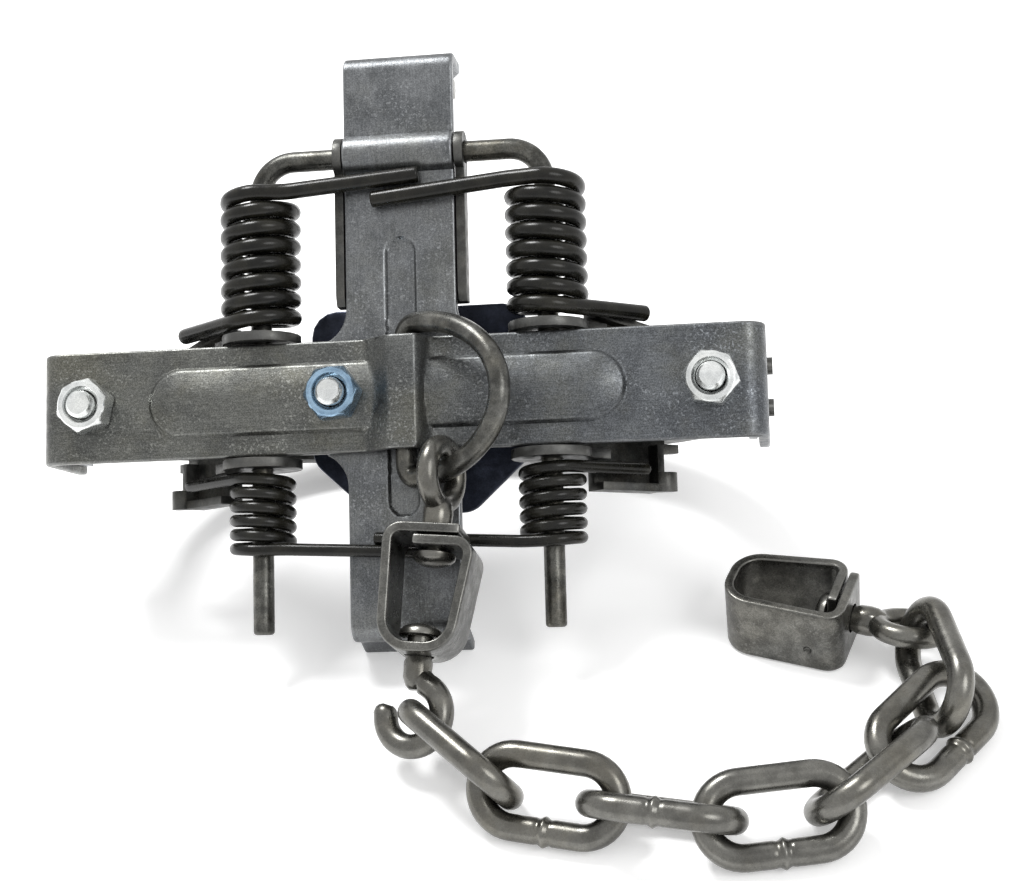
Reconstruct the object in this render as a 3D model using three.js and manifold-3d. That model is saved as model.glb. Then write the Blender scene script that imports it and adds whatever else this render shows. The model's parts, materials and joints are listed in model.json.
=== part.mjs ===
// An offset jaw foothold trap with four coil springs, closed and lying on its side, with its chain
// and two box swivels laid out in front of it. Millimetres, +Z up, floor at Z = 0.
//
// The trap is modelled upright first: X runs along the base bar, Z rises from the underside of the
// bar towards the jaws, and the dog is on the -Y side. The upright trap is then leaned over until the
// lip of its cross member and the top of its closed jaws both touch the floor. The chain is modelled
// in the floor's frame.
import * as THREE from "three";
import { mergeVertices } from "three/addons/utils/BufferGeometryUtils.js";
import Module from "manifold-3d";

const wasm = await Module();
wasm.setup();

// General sizes
const FIT = 0.3; // gap between pieces that touch
const RUN = 0.35; // radial clearance of a hinge pin
const OVERRUN = 1; // how far a cutter passes the face that it cuts

// Base bar
const BAR_LENGTH = 165;
const BAR_MIDDLE_X = -1.5; // the bar's middle lies a little left of the cross member's
const BAR_WIDTH = 25.4;
const BAR_SHEET = 2.5;
const BAR_BEND = 5;
const BAR_POST_HEIGHT = 24;
const HUMP_HEIGHT = 5.4;
const HUMP_LEFT = -8.2;
const HUMP_CREST_LEFT = -1.4;
const HUMP_CREST_RIGHT = 5;
const HUMP_RIGHT = 6.8;
const HUMP_BEND = 1.8;
const RIB_WIDTH = 16;
const RIB_HEIGHT = 2.6;
const RIB_WALL = 2.3;
const RIB_LEFT_TO_NUT = 7.6; // from a rib's round end to the end nut's corner
const RIB_RIGHT_TO_NUT = 12.1;

// Bolts and nuts, quarter inch
const BOLT_DIAMETER = 6.3;
const BOLT_CLEARANCE = 0.4;
const BOLT_HEAD_ACROSS = 11.1;
const BOLT_HEAD_HEIGHT = 4;
const NUT_ACROSS = 11.1;
const NUT_HEIGHT = 5.6;
const BOLT_BEYOND_NUT = 1.8;
const END_BOLT_HEAD_GAP = 0.2; // from the end bolt's head to the pivot plate's bend
const MIDDLE_BOLT_X = -14;

// Jaw pivot plates inside the bar's ends
const PIVOT_PLATE_SHEET = 2;
const PIVOT_PLATE_WIDTH = 22;
const PIVOT_PLATE_PAST_BOLT = 7.3;
const PIVOT_PLATE_HEIGHT = 21.5;
const PIVOT_PLATE_BEND = 2.6;

// Cross member
const CROSS_WIDTH = 25.4;
const CROSS_SHEET = 2.5;
const CROSS_FLARE = 5; // extra half width where it meets the bar
const CROSS_FLARE_RADIUS = 8;
const CROSS_LIP_Y = 57;
const CROSS_FOOT_Y = 54.6;
const CROSS_LIP_HEIGHT = 17.5;
const CROSS_LIP_START = 12.5;
const CROSS_FOOT_BEND = 4.5;
const CROSS_BEAD_WIDTH = 6.6;
const CROSS_BEAD_DEPTH = 0.9;
const CROSS_BEAD_DOG_END = -36;
const CROSS_BEAD_FOOT_END = 27;
const DOG_POST_Y = -79.4;
const DOG_POST_BEND = 4;
const DOG_POST_TOP_WIDTH = 14;

// Spring rod, one U of round bar
const ROD_DIAMETER = 4.76;
const ROD_HALF_SPAN = 33;
const ROD_BEND = 8;
const ROD_CROSS_Y = -55.7;
const ROD_LEG_END_Y = 52.5;

// Rod bracket
const BRACKET_SHEET = 2;
const BRACKET_START_Y = -21;
const BRACKET_WEB_END_Y = -50;
const BRACKET_EAR_RADIUS = 4.7;

// Springs
const DOG_SPRING = { wire: 3.6, radius: 7.4, turns: 7, pitch: 4.12, start: 17.95 };
const FOOT_SPRING = { wire: 2.7, radius: 6.2, turns: 5, pitch: 3.18, start: 17.45 };
const SPRING_STEPS = 8;
const SPRING_SIDES = 5;
const SPRING_INNER_LEG = 22;
const LEAST_SPRING_GAP = 0.4;
// Where each outer leg ends: across the bar and along it, measured from the cross member's middle.
const DOG_LEFT_LEG_END = { x: 5, y: -49.9 };
const DOG_RIGHT_LEG_END = { x: -6, y: -44.6 };
const FOOT_LEFT_LEG_END = { x: 8, y: 35.4 };
const FOOT_RIGHT_LEG_END = { x: -6.5, y: 31.9 };

// Levers
const LEVER_SHEET = 2.3;
const LEVER_REST_DEG = 42;
const LEVER_LUG_RADIUS = 9;
const LEVER_LUG_GAP = 0.5;
const LEVER_LUG_SHEET = 2.1;
const LEVER_WEB_START = 3.8;
const LEVER_PAD_START = 10.6;
const LEVER_PAD_END = 28;
const LEVER_PAD_HALF = 22.2;
const LEVER_DOG_HALF_START = 18.6; // the pad narrows on the dog's side
const LEVER_DOG_HALF_END = 15.4;
const LEVER_FLANGE_SHEET = 1.8;
const LEVER_FLANGE_DEPTH = 4.6;
const LEVER_FORK_END = 35.1;
const LEVER_FORK_SLOT_START = 31;
const LEVER_FORK_HALF = 13.3;
const LEVER_FORK_TIP_HALF = 12.8;
const LEVER_FORK_SLOT_HALF = 10.8;
const LEVER_FOOT_LENGTH = 2.6;
const LEVER_FOOT_WIDTH = 4.4;

// Jaws
const JAW_PIVOT_Y = 4.7;
const JAW_PIVOT_Z = 15;
const JAW_PIN_DIAMETER = 4;
const JAW_PIN_BEYOND_POST = 1.2;
const JAW_HEIGHT = 57.5;
const JAW_STRIP = 9.2;
const JAW_THICK = 4.6;
const JAW_LEG_THICK = 3.4;
const JAW_LEG_TOP = 34;
const JAW_BOSS_DROP = 4.2;
const JAW_SQUARENESS = 2.4; // exponent of the hoop's outline, 2 being an ellipse
const JAW_PAD_LENGTH = 9;
const JAW_PAD_ANGLE_DEG = 38;
const JAW_STEPS = 26;

// Pan and its bracket
const PAN_TOP_Z = 25.8;
const PAN_SHEET = 1.8;
const PAN_HALF_WIDTH = 26;
const PAN_DOG_EDGE = -24;
const PAN_FAR_EDGE = 25;
const PAN_SHOULDER_Y = 12;
const PAN_NOSE_HALF = 12;
const PAN_CORNER = 6;
const PAN_HUB_RADIUS = 4.4;
const PAN_HUB_HALF = 4.2;
const PAN_PIN_DIAMETER = 4;
const PAN_PIN_HEAD = 5.8;
const PAN_PIN_HEAD_LENGTH = 1.7;
const PAN_PIVOT_Y = 4;
const PAN_PIVOT_Z = 15.4;
const PAN_BRACKET_SHEET = 2;
const PAN_BRACKET_HALF_DEPTH = 7;
const PAN_BRACKET_EAR_RADIUS = 4.6;
const PAN_BRACKET_FOOT_END = -20.5;

// Dog
const DOG_LENGTH = 54;
const DOG_WIDTH = 8.4;
const DOG_SHEET = 2.4;
const DOG_KNUCKLE = 3.4;
const DOG_PIN_DIAMETER = 3.2;
const DOG_PIVOT_Z = 28.6;
const DOG_TIP_TAPER = 5;

// D-ring
const RING_WIRE = 4.76;
const RING_LEG_X = 1.2;
const RING_HALF_HEIGHT = 17.3;
const RING_REACH = 28;
const RING_LEG_HALF = 13.8;
const RING_SHIFT_Y = 1.9;
const RING_TILT_DEG = 33;

// Box swivels
const BOX_STRAP = 2.1;
const BOX_DEPTH = 15.4;
const BOX_LENGTH = 27.6;
const BOX_WIDTH = 20.4;
const BOX_NOSE_RADIUS = 7;
const BOX_NOSE_STRAIGHT_SIDE = 0.92; // the nose's corners as shares of the half width
const BOX_NOSE_SLANTED_SIDE = 0.66;
const BOX_CORNER = 4;
const BOX_LAP_GAP = 0.5;
const BOX_LAP_START = 6.4;
const SHANK_DIAMETER = 5.6;
const SHANK_CLEARANCE = 0.45;
const RIVET_HEAD_DIAMETER = 9.4;
const RIVET_HEAD_HEIGHT = 3;
const RIVET_PLAY = 0.5;
const HOOK_RIVET_PLAY = 2; // the nose curves in round the rivet
const EYE_HOLE_SIDES = 14;
const EYE_WIRE = 4.7;
const EYE_RADIUS = 6.4;
const EYE_TO_BOX = 12.3; // from the eye's centre to the box's flat end
const EYE_AT_RING_X = 10.2; // where the D-ring passes through the first eye
const EYE_SETBACK = 0.9;
const EYE_TURN_DEG = -18;
const SWIVEL_LIFT_DEG = 9.5;
const SWIVEL_SIDE_DEG = 4.5;
const HOOK_WIRE = 5.2;
const HOOK_RADIUS = 6.7;
const HOOK_REACH = 12.2; // from the box's nose to the hook's centre
const HOOK_OPENING_DEG = 72;
const HOOK_TURN_DEG = 18;
const SECOND_EYE_TURN_DEG = 66;
const SECOND_BOX_HEADING_DEG = -18;

// Chain
const LINK_LENGTH = 34.5;
const LINK_WIDTH = 20.2;
const LINK_WIRE = 5.5;
const LINK_ARC_STEPS = 8;
const LINK_PLAY = 0.4; // between two links pulled tight
const FLOOR_PLAY = 0.3;
const HOOK_PULL = 0.6; // how far the first link is pulled towards the hook's far side
// From the hook on: which way each link lies on the floor, how far it is turned about itself, both
// in degrees, and how slack it is against the next and how far aside the next one lies.
const CHAIN = [
  { heading: -43.9, turn: -62.8, slack: 0.6, aside: -0.2, weld: false },
  { heading: -12, turn: 50.1, slack: 0, aside: 0, weld: true },
  { heading: -10.5, turn: -46.2, slack: 0, aside: 0, weld: true },
  { heading: 8.1, turn: 36.9, slack: 0.1, aside: 0.9, weld: true },
  { heading: 46.9, turn: -49.9, slack: 3.7, aside: -0.4, weld: false },
  { heading: 51.2, turn: 27.1, slack: 6.4, aside: 2.1, weld: true },
  { heading: 99.9, turn: -66, slack: 0.8, aside: 0.1, weld: false },
];
const SECOND_EYE_ALONG = 1.2; // where the second eye lies from the last link's end, on its own frame
const SECOND_EYE_ASIDE = 0.8;
const TUBE_SIDES = 8;
const WELD_SWELL = 0.45;
const WELD_LENGTH = 2.4;

// Worked out from the sizes above
const ROD_RADIUS = ROD_DIAMETER / 2;
const BAR_HALF = BAR_LENGTH / 2;
const CROSS_FACE = BAR_SHEET + FIT; // outer face of the cross member
const CROSS_BACK = CROSS_FACE + CROSS_SHEET;
const ROD_Z = BAR_SHEET + FIT + ROD_RADIUS + 0.02 * ROD_DIAMETER;
const BARREL_RADIUS = ROD_RADIUS + FIT + CROSS_SHEET;
const BRACKET_WEB_Z = CROSS_BACK + FIT;
const BRACKET_HALF = CROSS_WIDTH / 2 + FIT + BRACKET_SHEET;
const POST_INNER_X = BAR_HALF - BAR_SHEET;
const PIVOT_PLATE_OUTER_X = POST_INNER_X - FIT;
const PIVOT_PLATE_INNER_X = PIVOT_PLATE_OUTER_X - PIVOT_PLATE_SHEET;
const PIVOT_PLATE_Z = BAR_SHEET + FIT;
const PIVOT_PLATE_INNER_BEND = PIVOT_PLATE_BEND - PIVOT_PLATE_SHEET;
const BOLT_HEAD_CORNER = BOLT_HEAD_ACROSS / Math.sqrt(3);
const NUT_CORNER = NUT_ACROSS / Math.sqrt(3);
// The end bolts are placed from the posts, and the ribs' ends from the bolts.
const END_BOLT_X =
  PIVOT_PLATE_INNER_X - PIVOT_PLATE_INNER_BEND - BOLT_HEAD_CORNER - END_BOLT_HEAD_GAP;
const PIVOT_PLATE_REACH = PIVOT_PLATE_OUTER_X - END_BOLT_X + PIVOT_PLATE_PAST_BOLT;
const RIB_LEFT_END = BAR_MIDDLE_X - END_BOLT_X + NUT_CORNER + RIB_LEFT_TO_NUT;
const RIB_RIGHT_END = BAR_MIDDLE_X + END_BOLT_X - NUT_CORNER - RIB_RIGHT_TO_NUT;
const JAW_HALF_SPAN = PIVOT_PLATE_INNER_X - 2 * FIT;
const JAW_OUTER_FACE = JAW_PIVOT_Y + JAW_THICK / 2;
const JAW_INNER_FACE = JAW_PIVOT_Y - JAW_THICK / 2;
const JAW_TOP_Z = JAW_PIVOT_Z + JAW_HEIGHT;
const PAN_EAR_INNER = PAN_HUB_HALF + FIT;
const PAN_EAR_OUTER = PAN_EAR_INNER + PAN_BRACKET_SHEET;
const PAN_FOOT_Z = CROSS_BACK + FIT;
const RING_LEG_Z = CROSS_FACE - RING_WIRE / 2 - 1.6 * FIT;
const LUG_INNER = BAR_WIDTH / 2 + LEVER_LUG_GAP;

// The trap leans until its cross member's lip and its jaws' top both touch the floor.
const LEAN = Math.atan2(JAW_TOP_Z - CROSS_LIP_HEIGHT, CROSS_LIP_Y - JAW_OUTER_FACE);

const steel = (color, roughness) =>
  new THREE.MeshStandardMaterial({ color, roughness, metalness: 0.85 });
const FINISHES = {
  stamped: [0x6d6f73, 0.45],
  spring: [0x45443c, 0.5],
  dark: [0x2f3238, 0.55],
  jaw: [0x3a3b3a, 0.55],
  zinc: [0xc9ccce, 0.3],
  blueZinc: [0x9fb4c4, 0.3],
  chain: [0x6a6862, 0.4],
};

// Solids

function solidOf(geometry) {
  const bare = geometry.clone();
  bare.deleteAttribute("normal");
  bare.deleteAttribute("uv");
  const merged = mergeVertices(bare, 1e-4);
  return new wasm.Manifold(
    new wasm.Mesh({
      numProp: 3,
      vertProperties: Float32Array.from(merged.attributes.position.array),
      triVerts: Uint32Array.from(merged.index.array),
    }),
  );
}

function geometryOf(solid) {
  const mesh = solid.getMesh();
  const geometry = new THREE.BufferGeometry();
  geometry.setAttribute("position", new THREE.BufferAttribute(mesh.vertProperties, mesh.numProp));
  geometry.setIndex(new THREE.BufferAttribute(mesh.triVerts, 1));
  const flat = geometry.toNonIndexed();
  flat.computeVertexNormals();
  return flat;
}

function node(name, solid, finish) {
  const geometry = solid.isBufferGeometry ? solid : geometryOf(solid);
  const mesh = new THREE.Mesh(geometry, steel(...FINISHES[finish]));
  mesh.name = name;
  return mesh;
}

const X_AXIS = new THREE.Vector3(1, 0, 0);
const Y_AXIS = new THREE.Vector3(0, 1, 0);
const Z_AXIS = new THREE.Vector3(0, 0, 1);

// An extruded outline. Along z its points are (x, y), along x they are (y, z), along y they are (x, z).
function prism(shape, axis, from, to, bevel = {}) {
  const geometry = new THREE.ExtrudeGeometry(shape, {
    depth: to - from,
    bevelEnabled: false,
    curveSegments: 8,
    ...bevel,
  });
  if (axis === "z") return solidOf(geometry.translate(0, 0, from));
  const turn = new THREE.Matrix4();
  if (axis === "x") turn.makeBasis(Y_AXIS, Z_AXIS, X_AXIS);
  else turn.makeBasis(X_AXIS, Z_AXIS, Y_AXIS.clone().negate());
  geometry.applyMatrix4(turn);
  return solidOf(axis === "x" ? geometry.translate(from, 0, 0) : geometry.translate(0, to, 0));
}

function box(x0, x1, y0, y1, z0, z1) {
  const geometry = new THREE.BoxGeometry(x1 - x0, y1 - y0, z1 - z0);
  return solidOf(geometry.translate((x0 + x1) / 2, (y0 + y1) / 2, (z0 + z1) / 2));
}

// A round bar or cutter along an axis, from one station to another, centred on the other two values.
function round(axis, radius, from, to, a, b, sides = 16) {
  const geometry = new THREE.CylinderGeometry(radius, radius, to - from, sides);
  const middle = (from + to) / 2;
  if (axis === "x") return solidOf(geometry.rotateZ(-Math.PI / 2).translate(middle, a, b));
  if (axis === "y") return solidOf(geometry.translate(a, middle, b));
  return solidOf(geometry.rotateX(Math.PI / 2).translate(a, b, middle));
}

const hexagon = (across, from, to, x, y) =>
  round("z", across / Math.sqrt(3), from, to, x, y, 6);

const outline = (points) => new THREE.Shape(points.map(([x, y]) => new THREE.Vector2(x, y)));

// A stadium along x. A square end stops flat, a round one ends in a half circle.
function stadium(x0, x1, width, roundStart = true, roundEnd = true) {
  const r = width / 2;
  const shape = new THREE.Shape();
  shape.moveTo(roundStart ? x0 + r : x0, -r);
  shape.lineTo(roundEnd ? x1 - r : x1, -r);
  if (roundEnd) shape.absarc(x1 - r, 0, r, -Math.PI / 2, Math.PI / 2);
  else shape.lineTo(x1, r);
  shape.lineTo(roundStart ? x0 + r : x0, r);
  if (roundStart) shape.absarc(x0 + r, 0, r, Math.PI / 2, (3 * Math.PI) / 2);
  return shape;
}

// A line of corners, each {x, y, bend}, with its bends as arcs.
function bentLine(corners, steps = 5) {
  const points = [];
  corners.forEach((corner, i) => {
    const here = new THREE.Vector2(corner.x, corner.y);
    if (!corner.bend) {
      points.push(here);
      return;
    }
    const back = new THREE.Vector2(corners[i - 1].x, corners[i - 1].y).sub(here).normalize();
    const on = new THREE.Vector2(corners[i + 1].x, corners[i + 1].y).sub(here).normalize();
    const half = Math.acos(THREE.MathUtils.clamp(back.dot(on), -1, 1)) / 2;
    const middle = back.clone().add(on).normalize();
    const centre = here.clone().addScaledVector(middle, corner.bend / Math.sin(half));
    const start = here.clone().addScaledVector(back, corner.bend / Math.tan(half)).sub(centre);
    const turn = Math.sign(back.cross(on)) * -(Math.PI - 2 * half);
    for (let k = 0; k <= steps; k++)
      points.push(start.clone().rotateAround(new THREE.Vector2(), (turn * k) / steps).add(centre));
  });
  return points;
}

// A bent sheet's section: its outer face is the line, and its thickness lies to the line's left.
function sheetSection(line, thickness) {
  const inner = line.map((point, i) => {
    const before = line[Math.max(i - 1, 0)];
    const after = line[Math.min(i + 1, line.length - 1)];
    const arrive = point.clone().sub(before);
    const leave = after.clone().sub(point);
    if (!arrive.length()) arrive.copy(leave);
    if (!leave.length()) leave.copy(arrive);
    const n1 = new THREE.Vector2(-arrive.y, arrive.x).normalize();
    const n2 = new THREE.Vector2(-leave.y, leave.x).normalize();
    const mitre = n1.clone().add(n2).normalize();
    return point.clone().addScaledVector(mitre, thickness / mitre.dot(n1));
  });
  return new THREE.Shape([...line, ...inner.reverse()]);
}

// A round tube through points. Each ring of corners is carried on from the last without twist.
function tube(points, radius, sides = TUBE_SIDES, closed = false) {
  const count = points.length;
  const at = (i) => points[closed ? (i + count) % count : THREE.MathUtils.clamp(i, 0, count - 1)];
  const tangents = points.map((_, i) => at(i + 1).clone().sub(at(i - 1)).normalize());
  const seed = Math.abs(tangents[0].z) < 0.9 ? Z_AXIS : X_AXIS;
  const normal = seed.clone().cross(tangents[0]).normalize();
  const radii = typeof radius === "function" ? radius : () => radius;
  const positions = [];
  points.forEach((point, i) => {
    if (i > 0) {
      const turn = new THREE.Quaternion().setFromUnitVectors(tangents[i - 1], tangents[i]);
      normal.applyQuaternion(turn);
    }
    const side = tangents[i].clone().cross(normal);
    for (let k = 0; k < sides; k++) {
      const angle = (2 * Math.PI * (k + 0.5)) / sides;
      const corner = point
        .clone()
        .addScaledVector(normal, radii(i) * Math.cos(angle))
        .addScaledVector(side, radii(i) * Math.sin(angle));
      positions.push(corner.x, corner.y, corner.z);
    }
  });
  const index = [];
  const rings = closed ? count : count - 1;
  for (let i = 0; i < rings; i++)
    for (let k = 0; k < sides; k++) {
      const a = i * sides + k;
      const b = i * sides + ((k + 1) % sides);
      const c = ((i + 1) % count) * sides + k;
      const d = ((i + 1) % count) * sides + ((k + 1) % sides);
      index.push(a, b, d, a, d, c);
    }
  if (!closed)
    for (let k = 1; k < sides - 1; k++) {
      const last = (count - 1) * sides;
      index.push(0, k + 1, k, last, last + k, last + k + 1);
    }
  const geometry = new THREE.BufferGeometry();
  geometry.setAttribute("position", new THREE.Float32BufferAttribute(positions, 3));
  geometry.setIndex(index);
  return solidOf(geometry);
}

const v3 = (x, y, z) => new THREE.Vector3(x, y, z);

// The base bar: one pressed strip, bent up at both ends, with two ribs and the ring's tunnel.
function baseBar() {
  const left = BAR_MIDDLE_X - BAR_HALF;
  const right = BAR_MIDDLE_X + BAR_HALF;
  const line = bentLine([
    { x: left, y: BAR_POST_HEIGHT },
    { x: left, y: 0, bend: BAR_BEND },
    { x: HUMP_LEFT, y: 0, bend: HUMP_BEND },
    { x: HUMP_CREST_LEFT, y: -HUMP_HEIGHT, bend: HUMP_BEND },
    { x: HUMP_CREST_RIGHT, y: -HUMP_HEIGHT, bend: HUMP_BEND },
    { x: HUMP_RIGHT, y: 0 },
    { x: right, y: 0, bend: BAR_BEND },
    { x: right, y: BAR_POST_HEIGHT },
  ]);
  let bar = prism(sheetSection(line, BAR_SHEET), "y", -BAR_WIDTH / 2, BAR_WIDTH / 2);
  const rise = RIB_HEIGHT * 0.85;
  const bevel = { bevelEnabled: true, bevelThickness: rise, bevelSize: rise, bevelSegments: 3 };
  const ribBottom = -RIB_HEIGHT + rise;
  const rib = (x0, x1, roundStart, roundEnd) =>
    prism(
      stadium(
        x0 + (roundStart ? rise : 0),
        x1 - (roundEnd ? rise : 0),
        RIB_WIDTH - 2 * rise,
        roundStart,
        roundEnd,
      ),
      "z",
      ribBottom,
      0.1 * RIB_HEIGHT,
      bevel,
    );
  const wall = (HUMP_CREST_RIGHT + HUMP_RIGHT) / 2;
  const ramp = (HUMP_LEFT + HUMP_CREST_LEFT) / 2;
  // A bevel also grows a square end, so that end starts one bevel back.
  bar = bar.add(rib(RIB_LEFT_END, ramp - rise, true, false));
  bar = bar.add(rib(wall + rise, RIB_RIGHT_END, false, true));
  const groove = (x0, x1, roundStart, roundEnd) =>
    prism(
      stadium(x0, x1, RIB_WIDTH - 2 * RIB_WALL, roundStart, roundEnd),
      "z",
      RIB_WALL - RIB_HEIGHT,
      BAR_SHEET + OVERRUN,
    );
  bar = bar.subtract(groove(RIB_LEFT_END + RIB_WALL, HUMP_LEFT - RIB_WALL, true, true));
  bar = bar.subtract(groove(HUMP_RIGHT + RIB_WALL, RIB_RIGHT_END - RIB_WALL, true, true));
  for (const x of [BAR_MIDDLE_X - END_BOLT_X, MIDDLE_BOLT_X, BAR_MIDDLE_X + END_BOLT_X]) {
    const hole = BOLT_DIAMETER / 2 + BOLT_CLEARANCE;
    bar = bar.subtract(round("z", hole, -RIB_HEIGHT - OVERRUN, BAR_SHEET + OVERRUN, x, 0));
  }
  for (const x of [left, right])
    for (const y of [-JAW_PIVOT_Y, JAW_PIVOT_Y])
      bar = bar.subtract(pivotHole(x, y));
  return bar;
}

function pivotHole(x, y) {
  const reach = BAR_SHEET + PIVOT_PLATE_SHEET + FIT + OVERRUN;
  const radius = JAW_PIN_DIAMETER / 2 + RUN;
  return round("x", radius, x - reach, x + reach, y, JAW_PIVOT_Z, 12);
}

// The plate bolted inside each end of the bar, which doubles the jaw pivots' bearing.
function pivotPlate(side) {
  const outer = PIVOT_PLATE_OUTER_X;
  const line = bentLine([
    { x: outer - PIVOT_PLATE_REACH, y: PIVOT_PLATE_Z },
    { x: outer, y: PIVOT_PLATE_Z, bend: PIVOT_PLATE_BEND },
    { x: outer, y: PIVOT_PLATE_HEIGHT },
  ]);
  let plate = prism(
    sheetSection(line, PIVOT_PLATE_SHEET),
    "y",
    -PIVOT_PLATE_WIDTH / 2,
    PIVOT_PLATE_WIDTH / 2,
  );
  const hole = BOLT_DIAMETER / 2 + BOLT_CLEARANCE;
  plate = plate.subtract(round("z", hole, 0, PIVOT_PLATE_HEIGHT / 2, END_BOLT_X, 0));
  for (const y of [-JAW_PIVOT_Y, JAW_PIVOT_Y]) plate = plate.subtract(pivotHole(outer, y));
  return (side > 0 ? plate : plate.rotate([0, 0, 180])).translate([BAR_MIDDLE_X, 0, 0]);
}

// The cross member: a strip with the rod's barrel, the dog's post at one end and a lip at the other.
function crossMember() {
  const start = Math.asin((ROD_Z - CROSS_FACE) / BARREL_RADIUS);
  const barrel = [];
  const steps = 9;
  for (let i = 0; i <= steps; i++) {
    const angle = Math.PI + start + ((Math.PI - 2 * start) * i) / steps;
    barrel.push({
      x: ROD_CROSS_Y + BARREL_RADIUS * Math.cos(angle),
      y: ROD_Z + BARREL_RADIUS * Math.sin(angle),
    });
  }
  const line = bentLine([
    { x: DOG_POST_Y, y: DOG_PIVOT_Z },
    { x: DOG_POST_Y, y: CROSS_FACE, bend: DOG_POST_BEND },
    ...barrel,
    { x: CROSS_FOOT_Y, y: CROSS_FACE, bend: CROSS_FOOT_BEND },
    { x: CROSS_FOOT_Y, y: CROSS_LIP_START },
    { x: CROSS_LIP_Y, y: CROSS_LIP_HEIGHT },
  ]);
  const half = CROSS_WIDTH / 2;
  let member = prism(sheetSection(line, CROSS_SHEET), "x", -half, half);
  member = member.add(prism(flareOutline(), "z", CROSS_FACE, CROSS_BACK));
  const bead = stadium(CROSS_BEAD_DOG_END, CROSS_BEAD_FOOT_END, CROSS_BEAD_WIDTH);
  const cutter = prism(bead, "z", CROSS_FACE - OVERRUN, CROSS_FACE + CROSS_BEAD_DEPTH);
  member = member.subtract(cutter.rotate([0, 0, 90]));
  const hole = BOLT_DIAMETER / 2 + BOLT_CLEARANCE;
  member = member.subtract(round("z", hole, 0, CROSS_BACK + OVERRUN, MIDDLE_BOLT_X, 0));
  return member.subtract(dogPostTrim()).add(dogKnuckles());
}

// The cross member widens with a fillet on each side of the bar.
function flareOutline() {
  const half = CROSS_WIDTH / 2;
  const wide = half + CROSS_FLARE;
  const flat = BAR_WIDTH / 2;
  const r = CROSS_FLARE_RADIUS;
  const drop = Math.sqrt(r * r - (r - CROSS_FLARE) ** 2);
  const sweep = Math.acos((r - CROSS_FLARE) / r);
  const shape = new THREE.Shape();
  shape.moveTo(wide, -flat);
  shape.lineTo(wide, flat);
  shape.absarc(half + r, flat + drop, r, Math.PI + sweep, Math.PI, true);
  shape.lineTo(-half, flat + drop);
  shape.absarc(-half - r, flat + drop, r, 0, -sweep, true);
  shape.lineTo(-wide, -flat);
  shape.absarc(-half - r, -flat - drop, r, sweep, 0, true);
  shape.lineTo(half, -flat - drop);
  shape.absarc(half + r, -flat - drop, r, Math.PI, Math.PI - sweep, true);
  return shape;
}

// What is cut from the dog's post: its tapered sides and the slot that the dog's knuckle turns in.
function dogPostTrim() {
  const half = CROSS_WIDTH / 2;
  const top = DOG_PIVOT_Z;
  const taperStart = top / 2;
  const side = (s) =>
    outline([
      [s * (half + OVERRUN), taperStart],
      [s * half, taperStart],
      [(s * DOG_POST_TOP_WIDTH) / 2, top - DOG_KNUCKLE - FIT],
      [(s * DOG_POST_TOP_WIDTH) / 2, top + OVERRUN],
      [s * (half + OVERRUN), top + OVERRUN],
    ]);
  const y0 = DOG_POST_Y - OVERRUN;
  const y1 = DOG_POST_Y + CROSS_SHEET + OVERRUN;
  const slot = DOG_WIDTH / 2 + FIT;
  return prism(side(1), "y", y0, y1)
    .add(prism(side(-1), "y", y0, y1))
    .add(box(-slot, slot, y0, y1, top - DOG_KNUCKLE - FIT, top + OVERRUN));
}

const DOG_PIVOT_Y = DOG_POST_Y + CROSS_SHEET / 2;

function dogKnuckles() {
  const inner = DOG_WIDTH / 2 + FIT;
  const outer = DOG_POST_TOP_WIDTH / 2;
  const knuckle = (from, to) =>
    round("x", DOG_KNUCKLE, from, to, DOG_PIVOT_Y, DOG_PIVOT_Z, 12).subtract(
      round(
        "x",
        DOG_PIN_DIAMETER / 2 + FIT,
        from - OVERRUN,
        to + OVERRUN,
        DOG_PIVOT_Y,
        DOG_PIVOT_Z,
        12,
      ),
    );
  return knuckle(inner, outer).add(knuckle(-outer, -inner));
}

// The bore through the post's knuckles is cut again after they are joined to it.
function dogBore() {
  const reach = DOG_POST_TOP_WIDTH;
  return round("x", DOG_PIN_DIAMETER / 2 + FIT, -reach, reach, DOG_PIVOT_Y, DOG_PIVOT_Z, 12);
}

// The spring rod: one bar bent to a U, its legs under the levers' lugs and through all four coils.
function springRod() {
  const bend = bentLine(
    [
      { x: -ROD_HALF_SPAN, y: ROD_LEG_END_Y },
      { x: -ROD_HALF_SPAN, y: ROD_CROSS_Y, bend: ROD_BEND },
      { x: ROD_HALF_SPAN, y: ROD_CROSS_Y, bend: ROD_BEND },
      { x: ROD_HALF_SPAN, y: ROD_LEG_END_Y },
    ],
    8,
  );
  return tube(
    bend.map((p) => v3(p.x, p.y, ROD_Z)),
    ROD_RADIUS,
    12,
  );
}

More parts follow.
